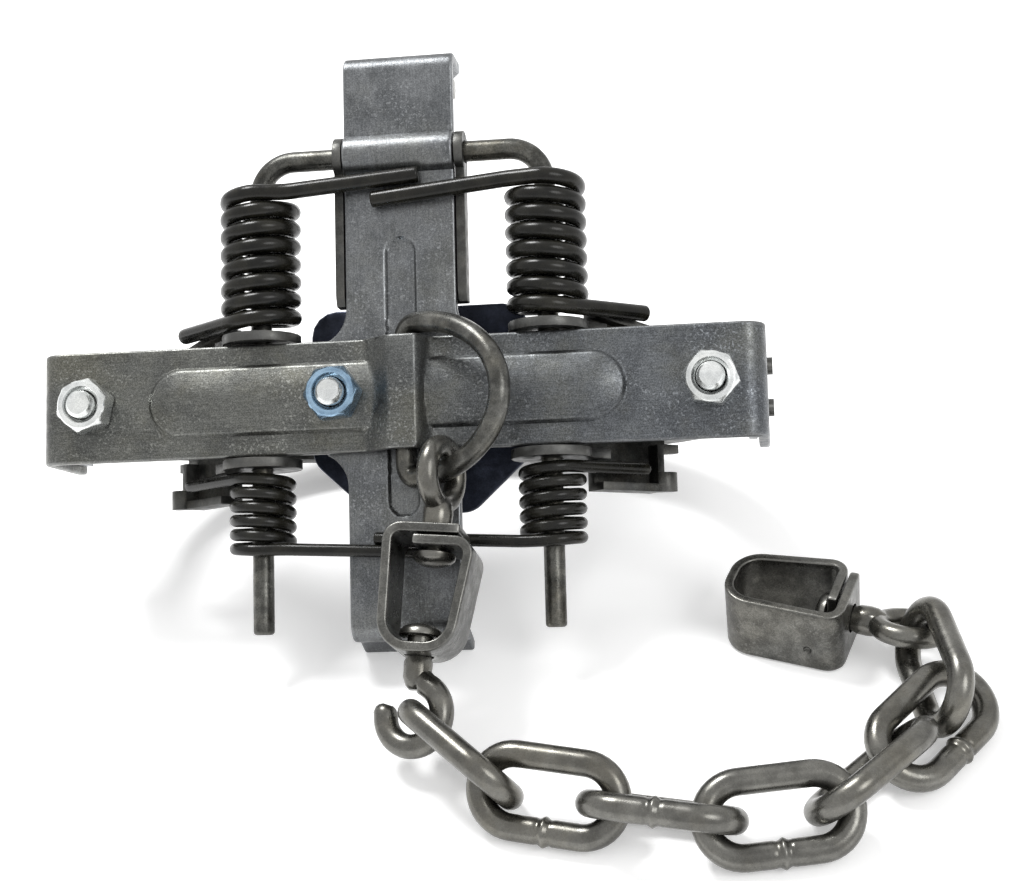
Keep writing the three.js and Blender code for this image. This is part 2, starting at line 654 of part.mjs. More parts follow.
// The bracket behind the cross member, whose two ears hold the rod beside the barrel.
function rodBracket() {
  const web = box(
    -BRACKET_HALF,
    BRACKET_HALF,
    BRACKET_WEB_END_Y,
    BRACKET_START_Y,
    BRACKET_WEB_Z,
    BRACKET_WEB_Z + BRACKET_SHEET,
  );
  const back = BRACKET_WEB_Z + BRACKET_SHEET;
  const front = CROSS_FACE + FIT;
  const flange = new THREE.Shape();
  const leave = Math.asin((front - ROD_Z) / BRACKET_EAR_RADIUS);
  flange.moveTo(BRACKET_START_Y, back);
  flange.lineTo(BRACKET_START_Y, CROSS_FACE + CROSS_SHEET / 2);
  flange.lineTo(BRACKET_START_Y - CROSS_SHEET, front);
  flange.absarc(ROD_CROSS_Y, ROD_Z, BRACKET_EAR_RADIUS, leave, -1.35 * Math.PI, true);
  flange.lineTo(BRACKET_WEB_END_Y, back);
  const inner = BRACKET_HALF - BRACKET_SHEET;
  let bracket = web
    .add(prism(flange, "x", inner, BRACKET_HALF))
    .add(prism(flange, "x", -BRACKET_HALF, -inner));
  const reach = BRACKET_HALF + OVERRUN;
  return bracket.subtract(round("x", ROD_RADIUS + FIT, -reach, reach, ROD_CROSS_Y, ROD_Z, 12));
}

// One torsion spring: an outer leg lying across the cross member, the coil round the rod, and an
// inner leg under the lever. `end` is -1 on the dog's side and +1 on the lip's side.
function springPath(spec, side, end, legEnd) {
  const { radius, turns, pitch, start, wire } = spec;
  const rest = THREE.MathUtils.degToRad(LEVER_REST_DEG);
  const sweep = 2 * Math.PI * turns + rest;
  const steps = Math.round((sweep / (2 * Math.PI)) * SPRING_STEPS);
  const coil = [];
  const length = (pitch * sweep) / (2 * Math.PI);
  for (let i = 0; i <= steps; i++) {
    const angle = -Math.PI / 2 + (sweep * i) / steps;
    const along = start + length * (1 - i / steps);
    coil.push(
      v3(
        side * (ROD_HALF_SPAN + radius * Math.cos(angle)),
        end * along,
        ROD_Z + radius * Math.sin(angle),
      ),
    );
  }
  const face = CROSS_FACE - wire / 2 - FIT;
  const outer = v3(legEnd.x, legEnd.y, face);
  const first = coil[0];
  const lead = v3(side * (ROD_HALF_SPAN - radius), first.y, (first.z + face) / 2);
  const straight = outer.clone().lerp(lead, wire / outer.distanceTo(lead));
  const inner = v3(side * Math.cos(rest), 0, Math.sin(rest));
  const last = coil[coil.length - 1];
  const tip = last.clone().addScaledVector(inner, SPRING_INNER_LEG);
  const nearTip = last.clone().addScaledVector(inner, SPRING_INNER_LEG - wire);
  return [outer, straight, lead, ...coil, nearTip, tip];
}

// The least gap of a spring to itself, on its points: distance between turns less the wire.
function leastGap(points, wire) {
  const apart = SPRING_STEPS / 2;
  let least = Infinity;
  for (let i = 0; i < points.length; i++)
    for (let j = i + apart; j < points.length; j++)
      least = Math.min(least, points[i].distanceTo(points[j]) - wire);
  return least;
}

function spring(name, spec, side, end, legEnd) {
  const path = springPath(spec, side, end, legEnd);
  const gap = leastGap(path, spec.wire);
  console.log(`${name}: least gap to itself ${gap.toFixed(2)} mm`);
  if (gap <= LEAST_SPRING_GAP) console.log(`${name}: that gap is too small`);
  return node(name, tube(path, spec.wire / 2, SPRING_SIDES), "spring");
}

// A lever lies flat along +X from its hinge at the origin: a forked web, a wide pad with a turned
// down rim, and two lugs on the rod. `dogSide` is the sign of y on the dog's side.
function leverSolid(dogSide) {
  const top = LEVER_SHEET / 2;
  const rim = LEVER_FLANGE_SHEET;
  const low = -LEVER_FLANGE_DEPTH;
  let lever = box(
    LEVER_WEB_START,
    LEVER_PAD_START + rim,
    -LUG_INNER - LEVER_LUG_SHEET,
    LUG_INNER + LEVER_LUG_SHEET,
    -top,
    top,
  );
  for (const s of [-1, 1]) {
    const start = s === dogSide ? LEVER_DOG_HALF_START : LEVER_PAD_HALF;
    const end = s === dogSide ? LEVER_DOG_HALF_END : LEVER_PAD_HALF;
    const web = outline([
      [LEVER_PAD_START, 0],
      [LEVER_PAD_START, s * start],
      [LEVER_PAD_END, s * end],
      [LEVER_PAD_END, s * LEVER_FORK_HALF],
      [LEVER_FORK_END, s * LEVER_FORK_TIP_HALF],
      [LEVER_FORK_END, s * LEVER_FORK_SLOT_HALF],
      [LEVER_FORK_SLOT_START, s * LEVER_FORK_SLOT_HALF],
      [LEVER_FORK_SLOT_START, 0],
    ]);
    const side = outline([
      [LEVER_PAD_START, s * start],
      [LEVER_PAD_END, s * end],
      [LEVER_PAD_END, s * (end - rim)],
      [LEVER_PAD_START, s * (start - rim)],
    ]);
    const e0 = Math.min(s * end, s * (LEVER_FORK_HALF - rim));
    const e1 = Math.max(s * end, s * (LEVER_FORK_HALF - rim));
    lever = lever
      .add(prism(web, "z", -top, top))
      .add(prism(side, "z", low, 0))
      .add(box(LEVER_PAD_END - rim, LEVER_PAD_END, e0, e1, low, 0))
      .add(leverFoot(s, end))
      .add(leverLug(s));
  }
  return lever;
}

// The flared foot at an outer corner of the pad, whose half width there is given.
function leverFoot(s, half) {
  const low = -LEVER_FLANGE_DEPTH;
  const start = LEVER_PAD_END - LEVER_FLANGE_SHEET;
  const foot = new THREE.Shape();
  foot.moveTo(start, low);
  foot.quadraticCurveTo(
    LEVER_PAD_END,
    low - LEVER_FOOT_LENGTH,
    LEVER_PAD_END + LEVER_FOOT_LENGTH,
    low - LEVER_FOOT_LENGTH / 2,
  );
  foot.lineTo(LEVER_PAD_END + LEVER_FOOT_LENGTH, low + LEVER_FOOT_LENGTH / 4);
  foot.lineTo(LEVER_PAD_END, low + LEVER_FOOT_LENGTH);
  foot.lineTo(start, low + LEVER_FOOT_LENGTH);
  const y0 = s > 0 ? half - LEVER_FOOT_WIDTH : -half;
  return prism(foot, "y", y0, y0 + LEVER_FOOT_WIDTH);
}

function leverLug(s) {
  const y0 = s > 0 ? LUG_INNER : -LUG_INNER - LEVER_LUG_SHEET;
  const shape = new THREE.Shape();
  const r = LEVER_LUG_RADIUS;
  const top = LEVER_SHEET / 2;
  const angle = Math.asin(top / r);
  shape.moveTo(LEVER_PAD_START + LEVER_SHEET, top);
  shape.absarc(0, 0, r, angle, 1.8 * Math.PI, false);
  shape.lineTo(LEVER_PAD_START + LEVER_SHEET, -LEVER_FLANGE_DEPTH);
  const hole = round(
    "y",
    ROD_RADIUS + RUN,
    y0 - OVERRUN,
    y0 + LEVER_LUG_SHEET + OVERRUN,
    0,
    0,
    12,
  );
  return prism(shape, "y", y0, y0 + LEVER_LUG_SHEET).subtract(hole);
}

function lever(name, side) {
  const mesh = node(name, leverSolid(-side), "jaw");
  const holder = new THREE.Group();
  const tilt = new THREE.Group();
  tilt.rotation.y = -THREE.MathUtils.degToRad(LEVER_REST_DEG);
  tilt.add(mesh);
  holder.rotation.z = side > 0 ? 0 : Math.PI;
  holder.position.set(side * ROD_HALF_SPAN, 0, ROD_Z);
  holder.add(tilt);
  return holder;
}

// The hoop's outline at an angle, as a rounded square ellipse about the pivot line.
function hoopPoint(angle, half, height) {
  const c = Math.cos(angle);
  const s = Math.sin(angle);
  const power = 2 / JAW_SQUARENESS;
  return [
    half * Math.sign(c) * Math.abs(c) ** power,
    JAW_PIVOT_Z + height * Math.abs(s) ** power,
  ];
}

function hoopOutline() {
  const inHalf = JAW_HALF_SPAN - JAW_STRIP;
  const inHeight = JAW_HEIGHT - JAW_STRIP;
  const low = JAW_PIVOT_Z - JAW_BOSS_DROP;
  const points = [[JAW_HALF_SPAN, low]];
  for (let i = 0; i <= JAW_STEPS; i++)
    points.push(hoopPoint((Math.PI * i) / JAW_STEPS, JAW_HALF_SPAN, JAW_HEIGHT));
  points.push([-JAW_HALF_SPAN, low], [-inHalf, low]);
  for (let i = JAW_STEPS; i >= 0; i--)
    points.push(hoopPoint((Math.PI * i) / JAW_STEPS, inHalf, inHeight));
  points.push([inHalf, low]);
  return outline(points);
}

// One jaw: a hoop with a thinner leg at each end, a pivot pin beyond it, and the two pads that hold
// the faces of the closed jaws apart. `side` is -1 for the jaw on the dog's side.
function jaw(name, side) {
  const hoop = hoopOutline();
  const legHalf = JAW_LEG_THICK / 2;
  const legs = prism(hoop, "y", JAW_PIVOT_Y - legHalf, JAW_PIVOT_Y + legHalf);
  const reach = JAW_HALF_SPAN + OVERRUN;
  const upper = box(-reach, reach, 0, JAW_OUTER_FACE + OVERRUN, JAW_LEG_TOP, JAW_TOP_Z + OVERRUN);
  let solid = legs.add(prism(hoop, "y", JAW_INNER_FACE, JAW_OUTER_FACE).intersect(upper));
  const padAngle = THREE.MathUtils.degToRad(JAW_PAD_ANGLE_DEG);
  for (const s of [-1, 1]) {
    const [px, pz] = hoopPoint(
      padAngle,
      JAW_HALF_SPAN - JAW_STRIP / 2,
      JAW_HEIGHT - JAW_STRIP / 2,
    );
    const half = JAW_PAD_LENGTH / 2;
    const pad = box(
      s * px - half,
      s * px + half,
      FIT / 2,
      JAW_PIVOT_Y,
      pz - half,
      pz + half,
    );
    solid = solid.add(pad.intersect(prism(hoop, "y", 0, JAW_OUTER_FACE)));
    const from = s > 0 ? JAW_HALF_SPAN - JAW_STRIP / 2 : -BAR_HALF - JAW_PIN_BEYOND_POST;
    const to = s > 0 ? BAR_HALF + JAW_PIN_BEYOND_POST : -JAW_HALF_SPAN + JAW_STRIP / 2;
    solid = solid.add(round("x", JAW_PIN_DIAMETER / 2, from, to, JAW_PIVOT_Y, JAW_PIVOT_Z, 12));
  }
  if (side < 0) solid = solid.rotate([0, 0, 180]);
  return node(name, solid.translate([BAR_MIDDLE_X, 0, 0]), "jaw");
}

// The pan: a plate with cut corners on a hub and shank.
function pan() {
  const line = bentLine(
    [
      { x: 0, y: PAN_DOG_EDGE },
      { x: PAN_HALF_WIDTH, y: PAN_DOG_EDGE, bend: PAN_CORNER },
      { x: PAN_HALF_WIDTH, y: PAN_SHOULDER_Y, bend: PAN_CORNER },
      { x: PAN_NOSE_HALF, y: PAN_FAR_EDGE, bend: PAN_CORNER },
      { x: -PAN_NOSE_HALF, y: PAN_FAR_EDGE, bend: PAN_CORNER },
      { x: -PAN_HALF_WIDTH, y: PAN_SHOULDER_Y, bend: PAN_CORNER },
      { x: -PAN_HALF_WIDTH, y: PAN_DOG_EDGE, bend: PAN_CORNER },
      { x: 0, y: PAN_DOG_EDGE },
    ],
    4,
  );
  line.pop();
  const plate = prism(new THREE.Shape(line), "z", PAN_TOP_Z - PAN_SHEET, PAN_TOP_Z);
  const hub = round(
    "x",
    PAN_HUB_RADIUS,
    -PAN_HUB_HALF,
    PAN_HUB_HALF,
    PAN_PIVOT_Y,
    PAN_PIVOT_Z,
    14,
  );
  const shank = box(
    -PAN_HUB_HALF,
    PAN_HUB_HALF,
    PAN_PIVOT_Y - PAN_HUB_RADIUS / 2,
    PAN_PIVOT_Y + PAN_HUB_RADIUS / 2,
    PAN_PIVOT_Z,
    PAN_TOP_Z - PAN_SHEET / 2,
  );
  const bore = round(
    "x",
    PAN_PIN_DIAMETER / 2 + RUN,
    -PAN_HUB_HALF - OVERRUN,
    PAN_HUB_HALF + OVERRUN,
    PAN_PIVOT_Y,
    PAN_PIVOT_Z,
    12,
  );
  return plate.add(hub).add(shank).subtract(bore);
}

// The pan's bracket, held by the middle bolt.
function panBracket() {
  const foot = box(
    PAN_BRACKET_FOOT_END,
    PAN_EAR_OUTER,
    -PAN_BRACKET_HALF_DEPTH,
    PAN_BRACKET_HALF_DEPTH,
    PAN_FOOT_Z,
    PAN_FOOT_Z + PAN_BRACKET_SHEET,
  );
  const r = PAN_BRACKET_EAR_RADIUS;
  const ear = new THREE.Shape();
  ear.moveTo(-PAN_BRACKET_HALF_DEPTH, PAN_FOOT_Z);
  ear.lineTo(PAN_BRACKET_HALF_DEPTH, PAN_FOOT_Z);
  ear.lineTo(PAN_BRACKET_HALF_DEPTH, PAN_FOOT_Z + PAN_BRACKET_SHEET);
  ear.absarc(PAN_PIVOT_Y, PAN_PIVOT_Z, r, 0, 0.85 * Math.PI, false);
  ear.lineTo(-PAN_BRACKET_HALF_DEPTH, PAN_FOOT_Z + PAN_BRACKET_SHEET);
  let bracket = foot
    .add(prism(ear, "x", PAN_EAR_INNER, PAN_EAR_OUTER))
    .add(prism(ear, "x", -PAN_EAR_OUTER, -PAN_EAR_INNER));
  const reach = PAN_EAR_OUTER + OVERRUN;
  const pinHole = round(
    "x",
    PAN_PIN_DIAMETER / 2 + FIT,
    -reach,
    reach,
    PAN_PIVOT_Y,
    PAN_PIVOT_Z,
    12,
  );
  const boltHole = round(
    "z",
    BOLT_DIAMETER / 2 + BOLT_CLEARANCE,
    PAN_FOOT_Z - OVERRUN,
    PAN_PIVOT_Z,
    MIDDLE_BOLT_X,
    0,
  );
  return bracket.subtract(pinHole).subtract(boltHole);
}

// A pin with a head outside each face that it passes.
function headedPin(radius, headRadius, headLength, inner, y, z) {
  const out = inner + FIT + headLength;
  return round("x", radius, -out, out, y, z, 12)
    .add(round("x", headRadius, inner + FIT, out, y, z, 6))
    .add(round("x", headRadius, -out, -inner - FIT, y, z, 12));
}

// The dog, modelled lying along +Y from its hinge at the origin.
function dogSolid() {
  const half = DOG_WIDTH / 2;
  const blade = outline([
    [-half, 0],
    [half, 0],
    [half, DOG_LENGTH - DOG_TIP_TAPER],
    [half / 2, DOG_LENGTH],
    [-half / 2, DOG_LENGTH],
    [-half, DOG_LENGTH - DOG_TIP_TAPER],
  ]);
  return prism(blade, "z", -DOG_SHEET / 2, DOG_SHEET / 2)
    .add(round("x", DOG_KNUCKLE, -half, half, 0, 0, 12))
    .subtract(round("x", DOG_PIN_DIAMETER / 2 + RUN, -DOG_WIDTH, DOG_WIDTH, 0, 0, 12));
}

// The dog hangs straight down from its hinge when the trap lies on its side.
const DOG_HANG = Math.PI / 2 - LEAN;

function dog() {
  const mesh = node("dog", dogSolid(), "jaw");
  mesh.position.set(0, DOG_PIVOT_Y, DOG_PIVOT_Z);
  mesh.rotation.x = DOG_HANG;
  return mesh;
}

// A bolt stands with its head on the inside and its end beyond the nut outside.
function bolt(headZ, nutZ, x) {
  const radius = BOLT_DIAMETER / 2;
  const end = nutZ - FIT - NUT_HEIGHT - BOLT_BEYOND_NUT;
  const chamfer = radius / 4;
  const profile = [
    new THREE.Vector2(0, end),
    new THREE.Vector2(radius - chamfer, end),
    new THREE.Vector2(radius, end + chamfer),
    new THREE.Vector2(radius, headZ + FIT),
    new THREE.Vector2(0, headZ + FIT),
  ];
  const shank = solidOf(new THREE.LatheGeometry(profile, 16).rotateX(Math.PI / 2));
  const head = hexagon(BOLT_HEAD_ACROSS, headZ + FIT, headZ + FIT + BOLT_HEAD_HEIGHT, 0, 0);
  return shank.add(head).translate([x, 0, 0]);
}

function nut(faceZ, x, turnDeg) {
  const top = faceZ - FIT;
  const body = hexagon(NUT_ACROSS, top - NUT_HEIGHT, top, 0, 0);
  const crown = new THREE.CylinderGeometry(NUT_CORNER, NUT_ACROSS / 2, NUT_HEIGHT / 5, 24);
  const crownTop = solidOf(
    crown.rotateX(Math.PI / 2).translate(0, 0, top - NUT_HEIGHT + NUT_HEIGHT / 10),
  );
  const barrel = round("z", NUT_CORNER, top - 0.8 * NUT_HEIGHT, top, 0, 0, 24);
  const hole = BOLT_DIAMETER / 2 + FIT;
  const bore = round("z", hole, top - NUT_HEIGHT - OVERRUN, top + OVERRUN, 0, 0);
  return body
    .intersect(crownTop.add(barrel))
    .subtract(bore)
    .rotate([0, 0, turnDeg])
    .translate([x, 0, 0]);
}

// The D-ring in its own plane: its leg along y at the origin, its bow reaching to +x.
function ringPoints() {
  const h = RING_HALF_HEIGHT;
  const corner = h - RING_LEG_HALF;
  const points = [];
  const add = (x, y) => points.push(v3(x, y, 0));
  add(0, -RING_LEG_HALF);
  add(0, RING_LEG_HALF);
  const steps = 4;
  for (let i = 1; i <= steps; i++) {
    const a = Math.PI - ((Math.PI / 2) * i) / steps;
    add(corner + corner * Math.cos(a), RING_LEG_HALF + corner * Math.sin(a));
  }
  const bow = RING_REACH - corner;
  const bowSteps = 14;
  for (let i = 1; i < bowSteps; i++) {
    const a = Math.PI / 2 - (Math.PI * i) / bowSteps;
    add(corner + bow * Math.cos(a), h * Math.sin(a));
  }
  for (let i = 0; i < steps; i++) {
    const a = -Math.PI / 2 - ((Math.PI / 2) * i) / steps;
    add(corner + corner * Math.cos(a), -RING_LEG_HALF + corner * Math.sin(a));
  }
  return points;
}

function dRing() {
  const mesh = node("d_ring", tube(ringPoints(), RING_WIRE / 2, TUBE_SIDES, true), "chain");
  mesh.position.set(RING_LEG_X, RING_SHIFT_Y, RING_LEG_Z);
  mesh.rotation.y = THREE.MathUtils.degToRad(RING_TILT_DEG);
  return mesh;
}

// Trap

const trap = new THREE.Group();
trap.add(node("base_bar", baseBar(), "stamped"));
trap.add(node("cross_member", crossMember().subtract(dogBore()), "stamped"));
trap.add(node("rod_bracket", rodBracket(), "stamped"));
trap.add(node("spring_rod", springRod(), "spring"));
trap.add(node("pivot_plate_left", pivotPlate(-1), "stamped"));
trap.add(node("pivot_plate_right", pivotPlate(1), "stamped"));
trap.add(spring("spring_dog_left", DOG_SPRING, -1, -1, DOG_LEFT_LEG_END));
trap.add(spring("spring_dog_right", DOG_SPRING, 1, -1, DOG_RIGHT_LEG_END));
trap.add(spring("spring_foot_left", FOOT_SPRING, -1, 1, FOOT_LEFT_LEG_END));
trap.add(spring("spring_foot_right", FOOT_SPRING, 1, 1, FOOT_RIGHT_LEG_END));
trap.add(lever("lever_left", -1));
trap.add(lever("lever_right", 1));
trap.add(jaw("jaw_dog_side", -1));
trap.add(jaw("jaw_far_side", 1));
trap.add(node("pan_bracket", panBracket(), "stamped"));
trap.add(node("pan", pan(), "dark"));
trap.add(
  node(
    "pan_pin",
    headedPin(
      PAN_PIN_DIAMETER / 2,
      PAN_PIN_HEAD / 2,
      PAN_PIN_HEAD_LENGTH,
      PAN_EAR_OUTER,
      PAN_PIVOT_Y,
      PAN_PIVOT_Z,
    ),
    "zinc",
  ),
);
trap.add(dog());
trap.add(
  node(
    "dog_pin",
    headedPin(
      DOG_PIN_DIAMETER / 2,
      DOG_KNUCKLE * 0.8,
      DOG_PIN_DIAMETER / 2,
      DOG_POST_TOP_WIDTH / 2,
      DOG_PIVOT_Y,
      DOG_PIVOT_Z,
    ),
    "chain",
  ),
);
const endHeadZ = PIVOT_PLATE_Z + PIVOT_PLATE_SHEET;
const middleHeadZ = PAN_FOOT_Z + PAN_BRACKET_SHEET;
const leftBoltX = BAR_MIDDLE_X - END_BOLT_X;
const rightBoltX = BAR_MIDDLE_X + END_BOLT_X;
trap.add(node("end_bolt_left", bolt(endHeadZ, 0, leftBoltX), "zinc"));
trap.add(node("end_bolt_right", bolt(endHeadZ, 0, rightBoltX), "zinc"));
trap.add(node("middle_bolt", bolt(middleHeadZ, -RIB_HEIGHT, MIDDLE_BOLT_X), "zinc"));
trap.add(node("end_nut_left", nut(0, leftBoltX, 12), "zinc"));
trap.add(node("end_nut_right", nut(0, rightBoltX, 40), "zinc"));
trap.add(node("middle_nut", nut(-RIB_HEIGHT, MIDDLE_BOLT_X, 25), "blueZinc"));
trap.add(dRing());

// The upright trap turned over and leaned, with its lip on the floor.
trap.rotation.x = Math.PI + LEAN;
const lip = v3(0, CROSS_LIP_Y, CROSS_LIP_HEIGHT).applyEuler(trap.rotation);
trap.position.z = -lip.z;

// Swivels and chain, each on its own frame: x along the shank away from the eye, z across the strap.

// The closed eye, its shank through the box's flat end, and the rivet head inside the box.
function swivelEye(turnDeg) {
  const turn = THREE.MathUtils.degToRad(turnDeg);
  const points = [];
  const steps = 16;
  for (let i = 0; i < steps; i++) {
    const a = (2 * Math.PI * i) / steps;
    const w = EYE_RADIUS * Math.sin(a);
    points.push(v3(EYE_RADIUS * Math.cos(a), w * Math.sin(turn), w * Math.cos(turn)));
  }
  const inside = EYE_TO_BOX + 2 * BOX_STRAP + BOX_LAP_GAP + RIVET_PLAY;
  const end = inside + RIVET_HEAD_HEIGHT;
  return tube(points, EYE_WIRE / 2, TUBE_SIDES, true)
    .add(round("x", SHANK_DIAMETER / 2, EYE_RADIUS, end, 0, 0, 12))
    .add(round("x", RIVET_HEAD_DIAMETER / 2, inside, end, 0, 0, EYE_HOLE_SIDES));
}

const NOSE_Y = ((BOX_NOSE_SLANTED_SIDE - BOX_NOSE_STRAIGHT_SIDE) * BOX_WIDTH) / 4;

// The box: one strap bent round and lapped over itself at its flat end, open on two sides.
function swivelBox(withHookHole) {
  const half = BOX_WIDTH / 2;
  const flat = EYE_TO_BOX;
  const innerLayer = flat + BOX_STRAP + BOX_LAP_GAP;
  const nose = flat + BOX_LENGTH;
  const strap = bentLine([
    { x: flat, y: BOX_LAP_START },
    { x: flat, y: -half, bend: BOX_CORNER },
    { x: nose, y: -half * BOX_NOSE_STRAIGHT_SIDE, bend: BOX_NOSE_RADIUS },
    { x: nose, y: half * BOX_NOSE_SLANTED_SIDE, bend: BOX_NOSE_RADIUS },
    { x: innerLayer, y: half, bend: BOX_CORNER },
    { x: innerLayer, y: BOX_LAP_GAP + BOX_STRAP - half + BOX_CORNER },
  ]);
  const depth = BOX_DEPTH / 2;
  const hole = SHANK_DIAMETER / 2 + SHANK_CLEARANCE;
  const eyeHole = round("x", hole, flat - OVERRUN, innerLayer + BOX_STRAP + OVERRUN, 0, 0, EYE_HOLE_SIDES);
  const made = prism(sheetSection(strap, BOX_STRAP), "z", -depth, depth).subtract(eyeHole);
  if (!withHookHole) return made;
  return made.subtract(
    round("x", hole, nose - BOX_STRAP - OVERRUN, nose + OVERRUN, NOSE_Y, 0, EYE_HOLE_SIDES),
  );
}

const HOOK_CENTRE_X = EYE_TO_BOX + BOX_LENGTH + HOOK_REACH;

// The hook: a rivet head and shank through the box's nose, then one wire bent to an open ring.
function swivelHook() {
  const nose = EYE_TO_BOX + BOX_LENGTH;
  const inside = nose - BOX_STRAP - HOOK_RIVET_PLAY;
  const sweep = THREE.MathUtils.degToRad(360 - HOOK_OPENING_DEG);
  const steps = 14;
  const points = [];
  for (let i = 0; i <= steps; i++) {
    const a = Math.PI - (sweep * i) / steps;
    points.push(v3(HOOK_CENTRE_X + HOOK_RADIUS * Math.cos(a), HOOK_RADIUS * Math.sin(a), 0));
  }
  const neck = HOOK_CENTRE_X - HOOK_RADIUS;
  return tube(points, HOOK_WIRE / 2)
    .add(round("x", SHANK_DIAMETER / 2, inside - RIVET_HEAD_HEIGHT, neck, 0, 0, 12))
    .add(round("x", RIVET_HEAD_DIAMETER / 2, inside - RIVET_HEAD_HEIGHT, inside, 0, 0, EYE_HOLE_SIDES));
}

// The first swivel hangs from the ring, lifted a little off the foot springs' legs.
const ringTilt = THREE.MathUtils.degToRad(RING_TILT_DEG);
const ringCorner = RING_HALF_HEIGHT - RING_LEG_HALF;
const ringAlong = (EYE_AT_RING_X - RING_LEG_X) / Math.cos(ringTilt);
const ringSine = Math.sqrt(1 - ((ringAlong - ringCorner) / (RING_REACH - ringCorner)) ** 2);
const firstEye = v3(
  EYE_AT_RING_X,
  RING_SHIFT_Y + RING_HALF_HEIGHT * ringSine + 0.8 * EYE_SETBACK,
  RING_LEG_Z - ringAlong * Math.sin(ringTilt) - 0.6 * EYE_SETBACK,
);
const firstSwivel = new THREE.Group();
firstSwivel.position.copy(firstEye);
// x along the shank, y to the right, z out of the bar's underside.
const shankAxis = v3(0, 1, 0)
  .applyAxisAngle(Z_AXIS, THREE.MathUtils.degToRad(SWIVEL_SIDE_DEG))
  .applyAxisAngle(X_AXIS, -THREE.MathUtils.degToRad(SWIVEL_LIFT_DEG));
const acrossAxis = v3(1, 0, 0).addScaledVector(shankAxis, -shankAxis.x).normalize();
const outAxis = shankAxis.clone().cross(acrossAxis);
firstSwivel.quaternion.setFromRotationMatrix(
  new THREE.Matrix4().makeBasis(shankAxis, acrossAxis, outAxis),
);
firstSwivel.add(node("swivel_eye_1", swivelEye(EYE_TURN_DEG), "chain"));
firstSwivel.add(node("swivel_box_1", swivelBox(true), "chain"));
const hook = node("swivel_hook", swivelHook(), "chain");
hook.rotation.x = THREE.MathUtils.degToRad(HOOK_TURN_DEG);
hook.position.y = NOSE_Y;
firstSwivel.add(hook);
trap.add(firstSwivel);
trap.updateMatrixWorld(true);

const hookCentre = v3(HOOK_CENTRE_X, NOSE_Y, 0).applyMatrix4(firstSwivel.matrixWorld);

// Each link: where its near end's wire is centred, its heading and pitch, and its lean about itself.
function link(name, nearEnd, heading, pitch, tilt, weld) {
  const reach = (LINK_LENGTH - LINK_WIRE) / 2;
  const arc = (LINK_WIDTH - LINK_WIRE) / 2;
  const points = [];
  for (const s of [1, -1])
    for (let i = 0; i <= LINK_ARC_STEPS; i++) {
      const a = -Math.PI / 2 + (Math.PI * i) / LINK_ARC_STEPS;
      points.push(v3(s * (reach - arc + arc * Math.cos(a)), s * arc * Math.sin(a), 0));
    }
  let radius = LINK_WIRE / 2;
  if (weld) {
    const middle = LINK_ARC_STEPS + 1;
    const side = points[0].y;
    const bump = (x) => v3(x, side, 0);
    points.push(bump(-WELD_LENGTH), bump(-WELD_LENGTH / 2), bump(WELD_LENGTH / 2), bump(WELD_LENGTH));
    const swollen = new Set([2 * middle + 1, 2 * middle + 2]);
    radius = (i) => LINK_WIRE / 2 + (swollen.has(i) ? WELD_SWELL : 0);
  }
  const mesh = node(name, tube(points, radius, TUBE_SIDES, true), "chain");
  mesh.rotation.set(tilt, -pitch, heading, "ZYX");
  mesh.position.copy(nearEnd).addScaledVector(headingVector(heading, pitch), reach);
  return mesh;
}

const headingVector = (heading, pitch) =>
  v3(Math.cos(heading) * Math.cos(pitch), Math.sin(heading) * Math.cos(pitch), Math.sin(pitch));

const part = new THREE.Group();
part.add(trap);

// The chain starts in the hook and each link starts in the one before it.
const linkReach = (LINK_LENGTH - LINK_WIRE) / 2;
const linkArc = (LINK_WIDTH - LINK_WIRE) / 2;
const axisHeight = (spec) =>
  linkArc * Math.abs(Math.sin(THREE.MathUtils.degToRad(spec.turn))) +
  LINK_WIRE / 2 +
  FLOOR_PLAY +
  (spec.weld ? WELD_SWELL / 2 : 0);
const firstHeading = THREE.MathUtils.degToRad(CHAIN[0].heading);
const nearEnd = hookCentre.clone().addScaledVector(headingVector(firstHeading, 0), HOOK_PULL);
for (const [i, spec] of CHAIN.entries()) {
  const heading = THREE.MathUtils.degToRad(spec.heading);
  if (i > 0) nearEnd.z = axisHeight(spec);
  const pitch = Math.asin((axisHeight(spec) - nearEnd.z) / (2 * linkReach));
  const turn = THREE.MathUtils.degToRad(spec.turn);
  part.add(link(`chain_link_${i + 1}`, nearEnd, heading, pitch, turn, spec.weld));
  if (i + 1 === CHAIN.length) {
    nearEnd.addScaledVector(headingVector(heading, pitch), 2 * linkReach);
    break;
  }
  const next = headingVector(THREE.MathUtils.degToRad(CHAIN[i + 1].heading), 0);
  const between = headingVector(heading, 0).add(next).normalize();
  nearEnd.addScaledVector(headingVector(heading, pitch), 2 * linkReach);
  nearEnd.addScaledVector(between, -LINK_WIRE - LINK_PLAY - spec.slack);
  nearEnd.addScaledVector(between.applyAxisAngle(Z_AXIS, Math.PI / 2), spec.aside);
}

// The second swivel lies on the edge of its strap, its eye in the last link.
const secondSwivel = new THREE.Group();
const secondHeading = Math.PI + THREE.MathUtils.degToRad(SECOND_BOX_HEADING_DEG);
nearEnd.addScaledVector(headingVector(secondHeading, 0), SECOND_EYE_ALONG);
nearEnd.addScaledVector(headingVector(secondHeading + Math.PI / 2, 0), SECOND_EYE_ASIDE);
secondSwivel.position.set(nearEnd.x, nearEnd.y, BOX_DEPTH / 2 + FLOOR_PLAY);
secondSwivel.rotation.set(Math.PI, 0, secondHeading, "ZYX"); // the lap's outer end is on its far side
secondSwivel.add(node("swivel_eye_2", swivelEye(SECOND_EYE_TURN_DEG), "chain"));
secondSwivel.add(node("swivel_box_2", swivelBox(false), "chain"));
part.add(secondSwivel);

